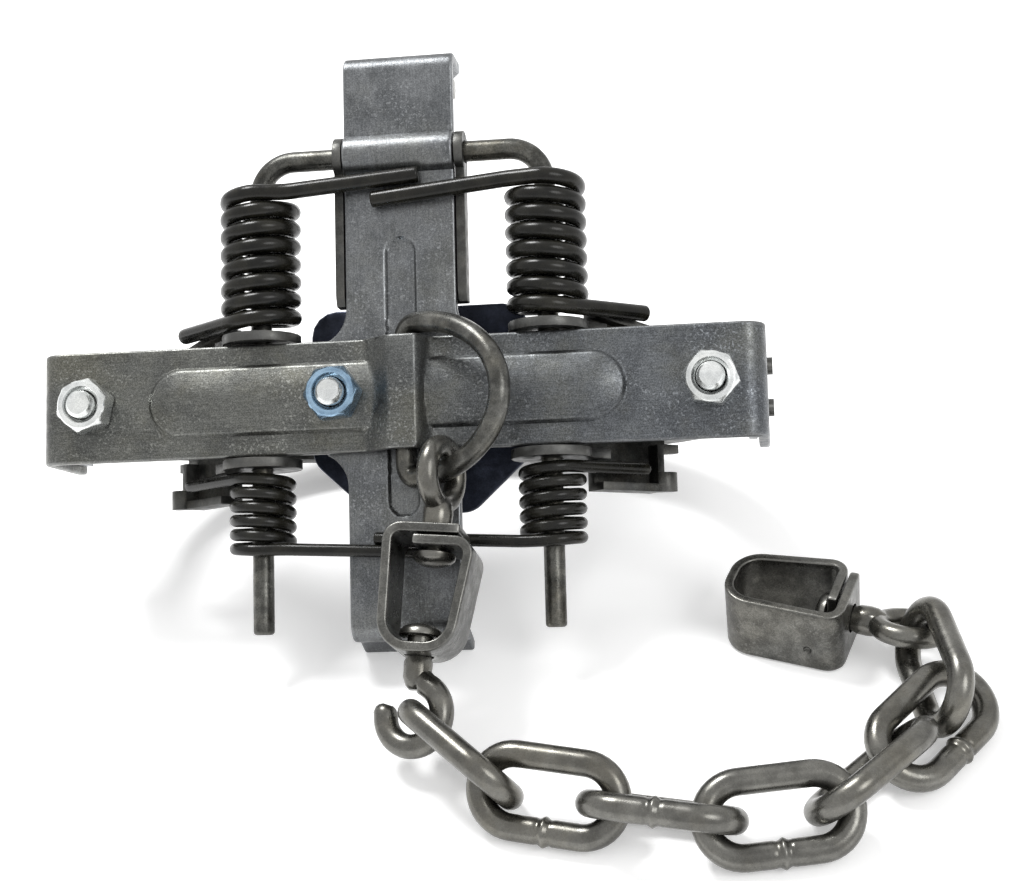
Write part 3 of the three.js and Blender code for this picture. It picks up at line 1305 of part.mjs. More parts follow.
// The frame: the bottom middle of the whole part's box is the origin.
const bounds = new THREE.Box3().setFromObject(part, true);
part.position.set(
  -(bounds.min.x + bounds.max.x) / 2,
  -(bounds.min.y + bounds.max.y) / 2,
  -bounds.min.z,
);

export default part;
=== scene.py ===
import json
import math

import bmesh
import bpy
from mathutils import Matrix, Vector


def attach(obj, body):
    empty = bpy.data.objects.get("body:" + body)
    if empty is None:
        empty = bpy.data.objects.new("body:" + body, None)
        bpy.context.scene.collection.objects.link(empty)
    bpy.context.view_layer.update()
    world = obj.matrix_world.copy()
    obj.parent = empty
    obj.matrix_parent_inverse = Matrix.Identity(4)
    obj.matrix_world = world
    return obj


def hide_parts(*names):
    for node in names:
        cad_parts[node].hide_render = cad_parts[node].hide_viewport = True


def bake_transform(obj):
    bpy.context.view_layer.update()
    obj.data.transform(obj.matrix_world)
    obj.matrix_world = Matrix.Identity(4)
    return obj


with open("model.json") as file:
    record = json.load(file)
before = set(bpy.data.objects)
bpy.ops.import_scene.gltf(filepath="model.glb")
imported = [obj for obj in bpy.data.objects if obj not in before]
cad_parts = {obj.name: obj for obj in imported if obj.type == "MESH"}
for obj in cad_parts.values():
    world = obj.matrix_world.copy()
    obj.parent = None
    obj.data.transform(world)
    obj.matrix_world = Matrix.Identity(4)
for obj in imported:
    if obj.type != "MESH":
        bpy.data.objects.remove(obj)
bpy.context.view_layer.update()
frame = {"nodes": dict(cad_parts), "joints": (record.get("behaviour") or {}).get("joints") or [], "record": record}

MM = 0.001
FIT = 0.3  # the gap between pieces that touch in the real trap

# Base bar
BAR_HALF, BAR_WIDTH, BAR_SHEET, BAR_BEND, BAR_POST_HEIGHT = 82.5, 25.4, 2.5, 5, 24
BAR_MIDDLE_X, BAR_EDGE = -1.5, 0.6
BAR_STEP, HUMP_STEP, RIB_END_STEP = 0.9, 0.3, 0.2  # between stations along the bar
HUMP_HEIGHT, HUMP_CORNERS, HUMP_SOFTNESS = 5.4, (-8.2, -1.4, 5, 6.8), 0.9
HUMP_FINE_FROM, HUMP_FINE_TO = -11, 9.4
RIB_WIDTH, RIB_HEIGHT, RIB_LEFT_END, RIB_RIGHT_END = 16, 2.6, -57.98, 50.48
RIB_FLANK_HEIGHT, RIB_FLANK_WIDTH = 1.05, 0.8  # the steep foot of a rib
BOLT_RADIUS, BOLT_CLEARANCE, BOLT_HEAD_HEIGHT, BOLT_BEYOND_NUT = 3.15, 0.4, 4, 1.8
NUT_ACROSS, NUT_HEIGHT = 11.1, 5.6
END_BOLTS_X, MIDDLE_BOLT_X = (-71.991, 68.991), -14
BACKING_SHEET = 2  # of the pivot plates and the pan's bracket, under the bolts' heads

# Cross member, dog and jaws
CROSS_HALF, CROSS_SHEET, CROSS_FLARE, CROSS_FLARE_RADIUS = 12.7, 2.5, 5, 8
CROSS_LIP_Y, CROSS_FOOT_Y, CROSS_LIP_HEIGHT, CROSS_LIP_START = 57, 54.6, 17.5, 12.5
CROSS_FOOT_BEND, CROSS_EDGE = 4.5, 0.5
CROSS_BEAD_WIDTH, CROSS_BEAD_DEPTH, CROSS_BEAD_ENDS = 6.6, 0.9, (-36, 27)
CROSS_BEAD_BEYOND, CROSS_BEAD_FLANK = 0.4, 0.7
DOG_POST_Y, DOG_POST_BEND, DOG_POST_TOP_HALF = -79.4, 4, 7
DOG_WIDTH, DOG_KNUCKLE, DOG_PIN_RADIUS, DOG_PIVOT_Z = 8.4, 3.4, 1.6, 28.6
KNUCKLE_CHAMFER, SLOT_HEIGHT = 0.3, 6
JAW_PIVOT_Y, JAW_PIVOT_Z, JAW_HEIGHT, JAW_THICK = 4.7, 15, 57.5, 4.6
JAW_PIN_RADIUS, JAW_PIN_CLEARANCE = 2, 0.35

# Rod and springs
ROD_RADIUS, ROD_HALF_SPAN, ROD_BEND, ROD_CROSS_Y, ROD_LEG_END_Y = 2.38, 33, 8, -55.7, 52.5
LEVER_REST = math.radians(42)
DOG_SPRING = dict(wire=3.75, radius=7.4, turns=7, pitch=4.12, start=17.95)
FOOT_SPRING = dict(wire=2.8, radius=6.2, turns=5, pitch=3.18, start=17.45)
SPRING_INNER_LEG, SPRING_LEG_BEND = 22, 3.4

# Ring and swivels
RING_WIRE, RING_LEG_X, RING_HALF_HEIGHT, RING_REACH = 4.76, 1.2, 17.3, 28
RING_LEG_HALF, RING_SHIFT_Y, RING_TILT = 13.8, 1.9, math.radians(33)
BOX_STRAP, BOX_DEPTH, BOX_LENGTH, BOX_WIDTH, BOX_EDGE = 2.1, 15.4, 27.6, 20.4, 0.45
BOX_NOSE_RADIUS, BOX_NOSE_SIDES, BOX_CORNER = 7, (0.92, 0.66), 4
BOX_LAP_GAP, BOX_LAP_START = 0.5, 6.4
BOX_PITS = ((7.4, -2.5), (23.5, -0.8))  # along from the eye's side, and up
SHANK_RADIUS, SHANK_CLEARANCE, RIVET_RADIUS, RIVET_HEIGHT = 2.8, 0.45, 4.7, 3
RIVET_PLAY, HOOK_RIVET_PLAY = 0.5, 2
EYE_WIRE, EYE_RADIUS, EYE_TO_BOX, EYE_AT_RING_X = 4.7, 6.4, 12.3, 10.2
EYE_SETBACK_Y, EYE_SETBACK_Z = 0.72, 0.54
EYE_1_TURN, EYE_2_TURN = -18, 66  # degrees
SWIVEL_LIFT, SWIVEL_SIDE = math.radians(9.5), math.radians(4.5)
HOOK_WIRE, HOOK_RADIUS, HOOK_REACH = 5.2, 6.7, 12.2
HOOK_MOUTH, HOOK_TURN = 72, 18  # degrees

# Chain
LINK_LENGTH, LINK_WIDTH, LINK_WIRE = 34.5, 20.2, 5.5
LINK_PLAY, FLOOR_PLAY, HOOK_PULL = 0.4, 0.3, 0.6
WELD_SWELL, WELD_WIDTH = 0.45, 0.55
WELD_GROOVE, WELD_GROOVE_X, WELD_GROOVE_WIDTH = 0.16, 1.3, 0.4
# Of each link: heading and turn in degrees, slack to the next, its shift aside, and whether its
# weld shows
CHAIN = (
    (-43.9, -62.8, 0.6, -0.2, False),
    (-12, 50.1, 0, 0, True),
    (-10.5, -46.2, 0, 0, True),
    (8.1, 36.9, 0.1, 0.9, True),
    (46.9, -49.9, 3.7, -0.4, False),
    (51.2, 27.1, 6.4, 2.1, True),
    (99.9, -66, 0.8, 0.1, False),
)
SECOND_SWIVEL_HEADING = 162  # degrees
SECOND_EYE_ALONG, SECOND_EYE_ASIDE = 1.2, 0.8

# Camera, fitted to the photograph. Its place is from the trap's origin.
LENS, SENSOR = 65.74, 36
CAMERA_RIGHT = Vector((0.98938943, 0.08933399, -0.11457746))
CAMERA_BACK = Vector((0.13931315, -0.80716344, 0.5736541))
CAMERA_PLACE = Vector((82.1186, -339.298, 227.1144))

# What follows from the sizes
CROSS_FACE = BAR_SHEET + FIT
CROSS_BACK = CROSS_FACE + CROSS_SHEET
PLATE_BACK = BAR_SHEET + FIT + BACKING_SHEET
BRACKET_BACK = CROSS_BACK + FIT + BACKING_SHEET
NUT_CORNER, NUT_HALF = NUT_ACROSS / math.sqrt(3), NUT_ACROSS / 2
ROD_Z = BAR_SHEET + FIT + ROD_RADIUS * 1.04
BARREL_RADIUS = ROD_RADIUS + FIT + CROSS_SHEET
DOG_PIVOT_Y = DOG_POST_Y + CROSS_SHEET / 2
RING_LEG_Z = CROSS_FACE - RING_WIRE / 2 - 1.6 * FIT
RING_CORNER = RING_HALF_HEIGHT - RING_LEG_HALF
LEAN = math.atan2(
    JAW_PIVOT_Z + JAW_HEIGHT - CROSS_LIP_HEIGHT, CROSS_LIP_Y - JAW_PIVOT_Y - JAW_THICK / 2
)
NOSE_X = EYE_TO_BOX + BOX_LENGTH
NOSE_Y = (BOX_NOSE_SIDES[1] - BOX_NOSE_SIDES[0]) * BOX_WIDTH / 4
HOOK_CENTRE_X = NOSE_X + HOOK_REACH
LINK_REACH, LINK_ARC = (LINK_LENGTH - LINK_WIRE) / 2, (LINK_WIDTH - LINK_WIRE) / 2

# Frames: the trap's, upright before it leans, and the floor's, in which the chain lies
TURN = Matrix.Rotation(math.pi + LEAN, 4, "X")
dog_jaw = next(j for j in frame["joints"] if j["name"] == "jaw_dog_side_swing")
ORIGIN = Vector(dog_jaw["pos_m"]) / MM - TURN @ Vector((0, -JAW_PIVOT_Y, JAW_PIVOT_Z))
TRAP = Matrix.Translation(ORIGIN) @ TURN
FLOOR = Matrix.Translation(ORIGIN + TURN @ Vector((0, CROSS_LIP_Y, CROSS_LIP_HEIGHT)))
FLOOR.translation.x, FLOOR.translation.y = ORIGIN.x, ORIGIN.y
BODY_OF = {
    node: body for body, members in frame["record"]["behaviour"]["bodies"].items()
    for node in members
}


def in_scene(name, data):
    obj = bpy.data.objects.new(name, data)
    bpy.context.scene.collection.objects.link(obj)
    return obj


# Camera

def add_camera():
    """The photograph's viewpoint: seen from in front and above, a little from the right."""
    data = bpy.data.cameras.new("camera")
    data.lens = LENS
    data.sensor_width = SENSOR
    data.clip_start = 0.01
    camera = in_scene("camera", data)
    right, back = CAMERA_RIGHT.normalized(), CAMERA_BACK.normalized()
    up = back.cross(right).normalized()
    right = up.cross(back)
    turn = Matrix((right, up, back)).transposed().to_4x4()
    camera.matrix_world = Matrix.Translation((ORIGIN + CAMERA_PLACE) * MM) @ turn
    bpy.context.scene.camera = camera


add_camera()
bpy.context.scene.view_settings.view_transform = "Standard"


# Mesh tools

def piece_from(name, points, faces, place):
    mesh = bpy.data.meshes.new(name)
    mesh.from_pydata([tuple((place @ Vector(p)) * MM) for p in points], [], faces)
    obj = in_scene(name, mesh)
    tidy_mesh(obj)
    return obj


def tidy_mesh(obj, merge=1e-6):
    """Faces out, doubles merged."""
    bm = bmesh.new()
    bm.from_mesh(obj.data)
    bmesh.ops.remove_doubles(bm, verts=bm.verts, dist=merge)
    bmesh.ops.recalc_face_normals(bm, faces=bm.faces)
    bm.to_mesh(obj.data)
    bm.free()


def apply_modifiers(obj):
    bpy.context.view_layer.update()
    graph = bpy.context.evaluated_depsgraph_get()
    mesh = bpy.data.meshes.new_from_object(obj.evaluated_get(graph))
    obj.modifiers.clear()
    obj.data = mesh


def combine(obj, others, operation):
    """Booleans, applied one after the other. The others are used up."""
    for other in others:
        modifier = obj.modifiers.new("solid", "BOOLEAN")
        modifier.operation = operation
        modifier.solver = "EXACT"
        modifier.object = other
        apply_modifiers(obj)
        bpy.data.objects.remove(other)


def rings(name, sections, place, closed=False):
    """A skin over sections with the same number of points each."""
    count = len(sections[0])
    points = [p for section in sections for p in section]
    total = len(sections)
    faces = []
    for i in range(total if closed else total - 1):
        for k in range(count):
            nxt, j = (k + 1) % count, (i + 1) % total
            faces.append((i * count + k, i * count + nxt, j * count + nxt, j * count + k))
    if not closed:
        faces.append(tuple(range(count - 1, -1, -1)))
        faces.append(tuple(range((total - 1) * count, total * count)))
    return piece_from(name, points, faces, place)


def circle(radius, sides, turn=0.0):
    return [(radius * math.cos(a), radius * math.sin(a))
            for a in (2 * math.pi * k / sides + turn for k in range(sides))]


def turned(name, profile, place, axis="x", centre=(0, 0), sides=28):
    """A turned piece: (station, radius) pairs along the frame's x or z, closed at both ends."""
    sections = []
    for t, r in profile:
        ring = [(centre[0] + u, centre[1] + v) for u, v in circle(r, sides)]
        sections.append([(t, u, v) if axis == "x" else (u, v, t) for u, v in ring])
    return rings(name, sections, place)


def drill(axis, radius, start, end, centre, place):
    """A round cutter along the frame's x or z."""
    return turned("cutter", [(start, radius), (end, radius)], place, axis, centre, 32)


def wire(name, points, radius, place, sides=24, closed=False, tip=0.3):
    """Round wire along points, with one radius or a list of them. An open wire's ends are
    rounded over, by `tip` of its radius."""
    points = [Vector(p) for p in points]
    sizes = radius if isinstance(radius, list) else [radius] * len(points)
    if not closed:
        points, sizes = round_tips(points, sizes, tip)
    count = len(points)

    def at(i):
        return points[i % count if closed else min(max(i, 0), count - 1)]

    tangents = [(at(i + 1) - at(i - 1)).normalized() for i in range(count)]
    seed = Vector((0, 0, 1)) if abs(tangents[0].z) < 0.9 else Vector((1, 0, 0))
    normals = [seed.cross(tangents[0]).normalized()]
    for i in range(1, count):
        normals.append(tangents[i - 1].rotation_difference(tangents[i]) @ normals[-1])
    twist = 0
    if closed:
        back = tangents[-1].rotation_difference(tangents[0]) @ normals[-1]
        side = tangents[0].cross(normals[0])
        twist = -math.atan2(back.dot(side), back.dot(normals[0]))
    sections = []
    for i, p in enumerate(points):
        n, s = normals[i], tangents[i].cross(normals[i])
        turn = twist * i / count
        sections.append([
            p + sizes[i] * (math.cos(a) * n + math.sin(a) * s)
            for a in (2 * math.pi * k / sides + turn for k in range(sides))
        ])
    return rings(name, sections, place, closed)


def round_tips(points, sizes, tip):
    """Rounds both ends of an open wire with a few smaller rings inside its length."""
    def end(p, toward, r):
        along = (toward - p).normalized()
        return [(p + along * r * tip * (1 - math.sin(a)), r * (1 - tip * (1 - math.cos(a))))
                for a in map(math.radians, (75, 50, 25, 0))]
    first = end(points[0], points[1], sizes[0])
    last = end(points[-1], points[-2], sizes[-1])[::-1]
    middle = [(p, r) for p, r in zip(points[1:-1], sizes[1:-1])
              if (p - points[0]).length > 1.05 * sizes[0] * tip
              and (p - points[-1]).length > 1.05 * sizes[-1] * tip]
    made = first + middle + last
    return [p for p, _ in made], [r for _, r in made]


def rounded(points, cut, rounds=3):
    """Rounds the corners of an open line, each by no more than `cut`."""
    points = [Vector(p) for p in points]
    fine = [points[0]]
    for a, b in zip(points, points[1:]):
        length = (b - a).length
        if length > 2 * cut:
            fine += [a.lerp(b, cut / length), a.lerp(b, 1 - cut / length)]
        fine.append(b)
    for _ in range(rounds):
        cornered = [fine[0]]
        for a, b in zip(fine, fine[1:]):
            cornered += [a.lerp(b, 0.25), a.lerp(b, 0.75)]
        fine = cornered + [fine[-1]]
    return fine


def bent_line(corners, steps=8):
    """Corners (x, y) or (x, y, bend), with the bends as arcs."""
    made = []
    for i, corner in enumerate(corners):
        here = Vector(corner[:2])
        if len(corner) < 3:
            made.append(here)
            continue
        back = (Vector(corners[i - 1][:2]) - here).normalized()
        on = (Vector(corners[i + 1][:2]) - here).normalized()
        half = math.acos(max(-1, min(1, back.dot(on)))) / 2
        centre = here + (back + on).normalized() * corner[2] / math.sin(half)
        start = here + back * corner[2] / math.tan(half) - centre
        cross = back.x * on.y - back.y * on.x
        turn = -math.copysign(math.pi - 2 * half, cross)
        for k in range(steps + 1):
            a = turn * k / steps
            x = start.x * math.cos(a) - start.y * math.sin(a)
            y = start.x * math.sin(a) + start.y * math.cos(a)
            made.append(centre + Vector((x, y)))
    return made


def finer(line, step):
    """The same line with no segment longer than step."""
    made = [line[0]]
    for a, b in zip(line, line[1:]):
        parts = max(1, math.ceil((b - a).length / step))
        made += [a.lerp(b, k / parts) for k in range(1, parts + 1)]
    return made


def quarter_turn(wide, deep, radius, start):
    """The two points between the ends of a section's rounded corner."""
    return [(wide + radius * math.cos(a), deep + radius * math.sin(a))
            for a in (math.radians(start + 30), math.radians(start + 60))]


# How a strip's ends are rounded: each station along it, and how far the section there is drawn
# in, as shares of the edge's radius
END_ROUNDING = ((0, 1), (0.12, 0.53), (0.45, 0.165), (1, 0))


def strip(name, line, half, thick, put, place, *, columns, edge, step, emboss=None):
    """A bent strip with rounded edges. `line` is its outer face and its thickness lies to the
    line's left. `half` is the half width or gives it at a point, `emboss` gives how far it is
    pressed out, and `columns` is how many even columns there are or their places as shares of
    the half width."""
    line = finer(line, step)
    spread = columns
    if not isinstance(columns, list):
        spread = [2 * k / columns - 1 for k in range(columns + 1)]
    for _ in range(2):
        along = (line[1] - line[0]).normalized()
        line[1:1] = [line[0] + along * edge * station for station, _ in END_ROUNDING[1:]]
        line.reverse()
    count = len(line)
    shrink = {}
    for k, (_, less) in enumerate(END_ROUNDING):
        shrink[k] = shrink[count - 1 - k] = less * edge
    sections = []
    for i, p in enumerate(line):
        arrive, leave = p - line[max(i - 1, 0)], line[min(i + 1, count - 1)] - p
        if not arrive.length:
            arrive = leave
        if not leave.length:
            leave = arrive
        n1 = Vector((-arrive.y, arrive.x)).normalized()
        n2 = Vector((-leave.y, leave.x)).normalized()
        mitre = (n1 + n2).normalized()
        across = mitre / mitre.dot(n1)
        less = shrink.get(i, 0)
        w = (half(p) if callable(half) else half) - less
        flat, low, high = w - edge, less, thick - less
        section = [(flat * share, low) for share in spread]
        section += quarter_turn(flat, low + edge, edge, -90)
        section += [(w, low + edge), (w, high - edge)]
        section += quarter_turn(flat, high - edge, edge, 0)
        section += [(-flat * share, high) for share in spread]
        section += quarter_turn(-flat, high - edge, edge, 90)
        section += [(-w, high - edge), (-w, low + edge)]
        section += quarter_turn(-flat, low + edge, edge, 180)
        ring = []
        for wide, deep in section:
            q = p + across * (deep - (emboss(p, wide) if emboss else 0))
            ring.append(put(q.x, q.y, wide))
        sections.append(ring)
    return rings(name, sections, place)


def copy_of(node, edge):
    """A node's mesh as a new piece with its flat faces joined and its edges rounded."""
    obj = in_scene(node + "_dressed", frame["nodes"][node].data.copy())
    obj.data.materials.clear()
    bm = bmesh.new()
    bm.from_mesh(obj.data)
    bmesh.ops.remove_doubles(bm, verts=bm.verts, dist=2e-6)
    bmesh.ops.dissolve_limit(bm, angle_limit=math.radians(1), verts=bm.verts, edges=bm.edges,
                             use_dissolve_boundaries=False)
    bm.to_mesh(obj.data)
    bm.free()
    bevel = obj.modifiers.new("edges", "BEVEL")
    bevel.width = edge * MM
    bevel.segments = 2
    bevel.limit_method = "ANGLE"
    bevel.angle_limit = math.radians(32)
    bevel.use_clamp_overlap = True
    apply_modifiers(obj)
    tidy_mesh(obj, 1e-7)
    return obj


def use(obj, node, material, sharp=40, blend=None):
    """Gives a piece its finish and its body, or with a blend only bakes its place into its mesh, and hides its
    node.
    """
    obj.data.materials.clear()
    obj.data.materials.append(material)
    obj.data.polygons.foreach_set("use_smooth", [True] * len(obj.data.polygons))
    obj.data.set_sharp_from_angle(angle=math.radians(sharp))
    if blend:
        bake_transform(obj)
    else:
        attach(obj, BODY_OF[node])
    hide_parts(node)


# Materials

# Noise scales per metre
STREAKS, ROUGHNESS, FLECKS, FLECK_CLUSTERS = 260, 420, 1700, 70
# The ranges of pointiness in which creases get painted shade and worn edges show
PAINTED_CREASE_SHADE, EDGES = (0.4, 0.485), (0.515, 0.58)


def maths(tree, operation, a, b):
    """A maths node's output, of an output and an output or number."""
    node = tree.nodes.new("ShaderNodeMath")
    node.operation = operation
    tree.links.new(a, node.inputs[0])
    if isinstance(b, float):
        node.inputs[1].default_value = b
    else:
        tree.links.new(b, node.inputs[1])
    return node.outputs[0]


def steel(name, dark, light, warm, *, speckle, rough=(0.32, 0.52), streak=(1, 1, 1),
          streak_amount=0.3, warm_amount=0.5, wear=0.5, bump=0.5, blotch=70, metallic=0.9,
          gloss=0.5, grain_scale=3200, flecks=0.0, tint=None):
    """Bare or plated steel: blotches, a warm patina, streaks, a fine speckle, bright flecks,
    painted shade in the creases and worn edges. `tint` is a range of x and the factor at each of its ends."""
    made = bpy.data.materials.new(name)
    made.use_nodes = True
    nodes, links = made.node_tree.nodes, made.node_tree.links
    shader = nodes["Principled BSDF"]
    shader.inputs["Metallic"].default_value = metallic
    shader.inputs["Specular IOR Level"].default_value = gloss
    where = nodes.new("ShaderNodeTexCoord").outputs["Object"]

    def noise(scale, detail, stretch=None, fineness=0.6):
        node = nodes.new("ShaderNodeTexNoise")
        node.inputs["Scale"].default_value = scale
        node.inputs["Detail"].default_value = detail
        node.inputs["Roughness"].default_value = fineness
        if stretch:
            mapping = nodes.new("ShaderNodeMapping")
            mapping.inputs["Scale"].default_value = stretch
            links.new(where, mapping.inputs["Vector"])
            links.new(mapping.outputs["Vector"], node.inputs["Vector"])
        else:
            links.new(where, node.inputs["Vector"])
        return node.outputs["Fac"]

    def span(value, low, high, to_low=0.0, to_high=1.0):
        node = nodes.new("ShaderNodeMapRange")
        node.interpolation_type = "SMOOTHSTEP"
        for key, number in zip(("From Min", "From Max", "To Min", "To Max"),
                               (low, high, to_low, to_high)):
            node.inputs[key].default_value = number
        links.new(value, node.inputs["Value"])
        return node.outputs["Result"]

    def socket(sockets, kind, key):
        return next(s for s in sockets if s.type == kind and s.name == key)

    def blend_colours(factor, a, b, kind="MIX"):
        node = nodes.new("ShaderNodeMix")
        node.data_type = "RGBA"
        node.blend_type = kind
        node.clamp_result = False
        share = socket(node.inputs, "VALUE", "Factor")
        if isinstance(factor, float):
            share.default_value = factor
        else:
            links.new(factor, share)
        for key, value in (("A", a), ("B", b)):
            colour = socket(node.inputs, "RGBA", key)
            if isinstance(value, tuple):
                colour.default_value = (*value, 1)
            else:
                links.new(value, colour)
        return socket(node.outputs, "RGBA", "Result")

    base = blend_colours(span(noise(blotch, 5), 0.38, 0.62), dark, light)
    patina = span(noise(blotch * 0.45, 6, fineness=0.7), 0.42, 0.66, 0, warm_amount)
    base = blend_colours(patina, base, warm)
    lines = span(noise(STREAKS, 3, streak), 0.35, 0.7, 1 - streak_amount, 1 + streak_amount)
    grain = noise(grain_scale, 3)
    spots = span(grain, 0.36, 0.66, 1 - speckle, 1 + speckle)
    grey = nodes.new("ShaderNodeCombineColor")
    both = maths(made.node_tree, "MULTIPLY", lines, spots)
    for key in ("Red", "Green", "Blue"):
        links.new(both, grey.inputs[key])
    base = blend_colours(1.0, base, grey.outputs[0], "MULTIPLY")
    worn = tuple(min(1, 1.9 * c + 0.05) for c in light)
    if flecks:
        scatter = maths(made.node_tree, "MULTIPLY",
                        span(noise(FLECKS, 3), 0.55, 0.66, 0, flecks),
                        span(noise(FLECK_CLUSTERS, 3), 0.42, 0.62, 0.25, 1))
        base = blend_colours(scatter, base, worn)
    if tint:
        position = nodes.new("ShaderNodeSeparateXYZ")
        links.new(where, position.inputs[0])
        tinted = blend_colours(span(position.outputs["X"], *tint[0]), tint[1], tint[2])
        base = blend_colours(1.0, base, tinted, "MULTIPLY")
    pointed = nodes.new("ShaderNodeNewGeometry").outputs["Pointiness"]
    # Painted shade: concave creases are darkened towards a third of the dark colour
    base = blend_colours(span(pointed, *PAINTED_CREASE_SHADE, 0.7, 0), base, tuple(0.3 * c for c in dark))
    base = blend_colours(span(pointed, *EDGES, 0, wear), base, worn)
    links.new(base, shader.inputs["Base Color"])

    links.new(span(noise(ROUGHNESS, 4), 0.3, 0.7, *rough), shader.inputs["Roughness"])
    relief = nodes.new("ShaderNodeBump")
    relief.inputs["Strength"].default_value = bump
    relief.inputs["Distance"].default_value = 0.06 * MM
    links.new(grain, relief.inputs["Height"])
    links.new(relief.outputs["Normal"], shader.inputs["Normal"])
    return made


BAR_STEEL = steel("bar_steel", (0.092, 0.094, 0.096), (0.128, 0.13, 0.13), (0.125, 0.12, 0.098),
                  streak=(1, 14, 14), streak_amount=0.14, speckle=0.34, bump=0.6, blotch=90,
                  wear=0.8, rough=(0.3, 0.5), grain_scale=3600, flecks=0.8,
                  tint=((-0.05, 0.03), (1.03, 1.03, 0.96), (0.93, 0.97, 1.03)))
CROSS_STEEL = steel("cross_steel", (0.106, 0.111, 0.116), (0.158, 0.164, 0.17),
                    (0.15, 0.152, 0.14), streak=(12, 1, 1), streak_amount=0.12, speckle=0.26,
                    rough=(0.28, 0.44), blotch=100, wear=0.95, grain_scale=3600, flecks=0.5)
LEVER_STEEL = steel("lever_steel", (0.024, 0.025, 0.024), (0.06, 0.06, 0.057),
                    (0.055, 0.05, 0.038), speckle=0.3, blotch=190)
PAN_STEEL = steel("pan_steel", (0.014, 0.017, 0.028), (0.032, 0.038, 0.058),
                  (0.034, 0.036, 0.04), speckle=0.2, warm_amount=0.25, rough=(0.34, 0.52))
SPRING_STEEL = steel("spring_steel", (0.004, 0.004, 0.0032), (0.01, 0.0097, 0.0075),
                     (0.019, 0.017, 0.011), speckle=0.2, rough=(0.2, 0.3), blotch=220,
                     wear=0.03, warm_amount=0.4, metallic=0.05, gloss=0.27, bump=0.15)
ROD_STEEL = steel("rod_steel", (0.05, 0.05, 0.046), (0.115, 0.114, 0.104), (0.1, 0.09, 0.066),
                  rough=(0.25, 0.4), speckle=0.26, wear=0.2, blotch=160)
CHAIN_STEEL = steel("chain_steel", (0.105, 0.103, 0.095), (0.16, 0.157, 0.144),
                    (0.14, 0.13, 0.104), rough=(0.22, 0.34), speckle=0.1, blotch=120, wear=0.2,
                    streak_amount=0.1, bump=0.14)
RING_STEEL = steel("ring_steel", (0.074, 0.074, 0.069), (0.128, 0.127, 0.118),
                   (0.112, 0.104, 0.082), rough=(0.24, 0.38), speckle=0.2, blotch=150,
                   wear=0.15, bump=0.3)
BOX_STEEL = steel("box_steel", (0.084, 0.084, 0.079), (0.118, 0.117, 0.109), (0.108, 0.1, 0.08),
                  rough=(0.24, 0.38), speckle=0.22, blotch=60, wear=1.0, bump=0.4, flecks=0.3,
                  warm_amount=0.35)
ZINC = steel("zinc", (0.5, 0.52, 0.52), (0.74, 0.76, 0.75), (0.68, 0.69, 0.62), speckle=0.1,
             streak_amount=0.05, rough=(0.18, 0.3), warm_amount=0.35, bump=0.2, blotch=160)
BLUE_ZINC = steel("blue_zinc", (0.11, 0.19, 0.29), (0.25, 0.37, 0.49), (0.42, 0.5, 0.54),
                  speckle=0.1, streak_amount=0.05, rough=(0.18, 0.3), warm_amount=0.3,
                  bump=0.2, blotch=160)


# Base bar

def smooth(t):
    t = max(0.0, min(1.0, t))
    return t * t * (3 - 2 * t)


def ramp(x):
    a, b, c, d = HUMP_CORNERS
    if x <= a or x >= d:
        return 0.0
    if x < b:
        return (x - a) / (b - a)
    return 1.0 if x <= c else (d - x) / (d - c)


def hump(x):
    """The ring's tunnel, its corners rounded by taking the mean around each point."""
    parts = 6
    around = range(-parts, parts + 1)
    total = sum(ramp(x + HUMP_SOFTNESS * k / parts) for k in around)
    return HUMP_HEIGHT * total / len(around)


def rib(x, y):
    """The two pressed ribs: a low step at the outline, then a round crown."""
    half = RIB_WIDTH / 2
    centre = RIB_LEFT_END + half if x < 0 else RIB_RIGHT_END - half
    in_round_end = x < centre if x < 0 else x > centre
    inside = half - (math.hypot(x - centre, y) if in_round_end else abs(y))
    if inside <= 0:
        return 0.0
    share = max(0.0, min(1.0, (inside - RIB_FLANK_WIDTH) / (half - RIB_FLANK_WIDTH)))
    crown = math.sin(math.pi / 2 * share)
    flank = RIB_FLANK_HEIGHT * min(1.0, inside / RIB_FLANK_WIDTH)
    return flank + (RIB_HEIGHT - RIB_FLANK_HEIGHT) * crown


def bar_relief(p, y):
    """The ribs and the tunnel, with a soft line where they meet."""
    if abs(p.x - BAR_MIDDLE_X) > BAR_HALF - BAR_BEND or p.y > BAR_SHEET:
        return 0.0
    a, b = rib(p.x, y), hump(p.x)
    soft = 0.6
    h = max(soft - abs(a - b), 0) / soft
    return max(a, b) + h * h * soft / 4 if min(a, b) > 0 else max(a, b)


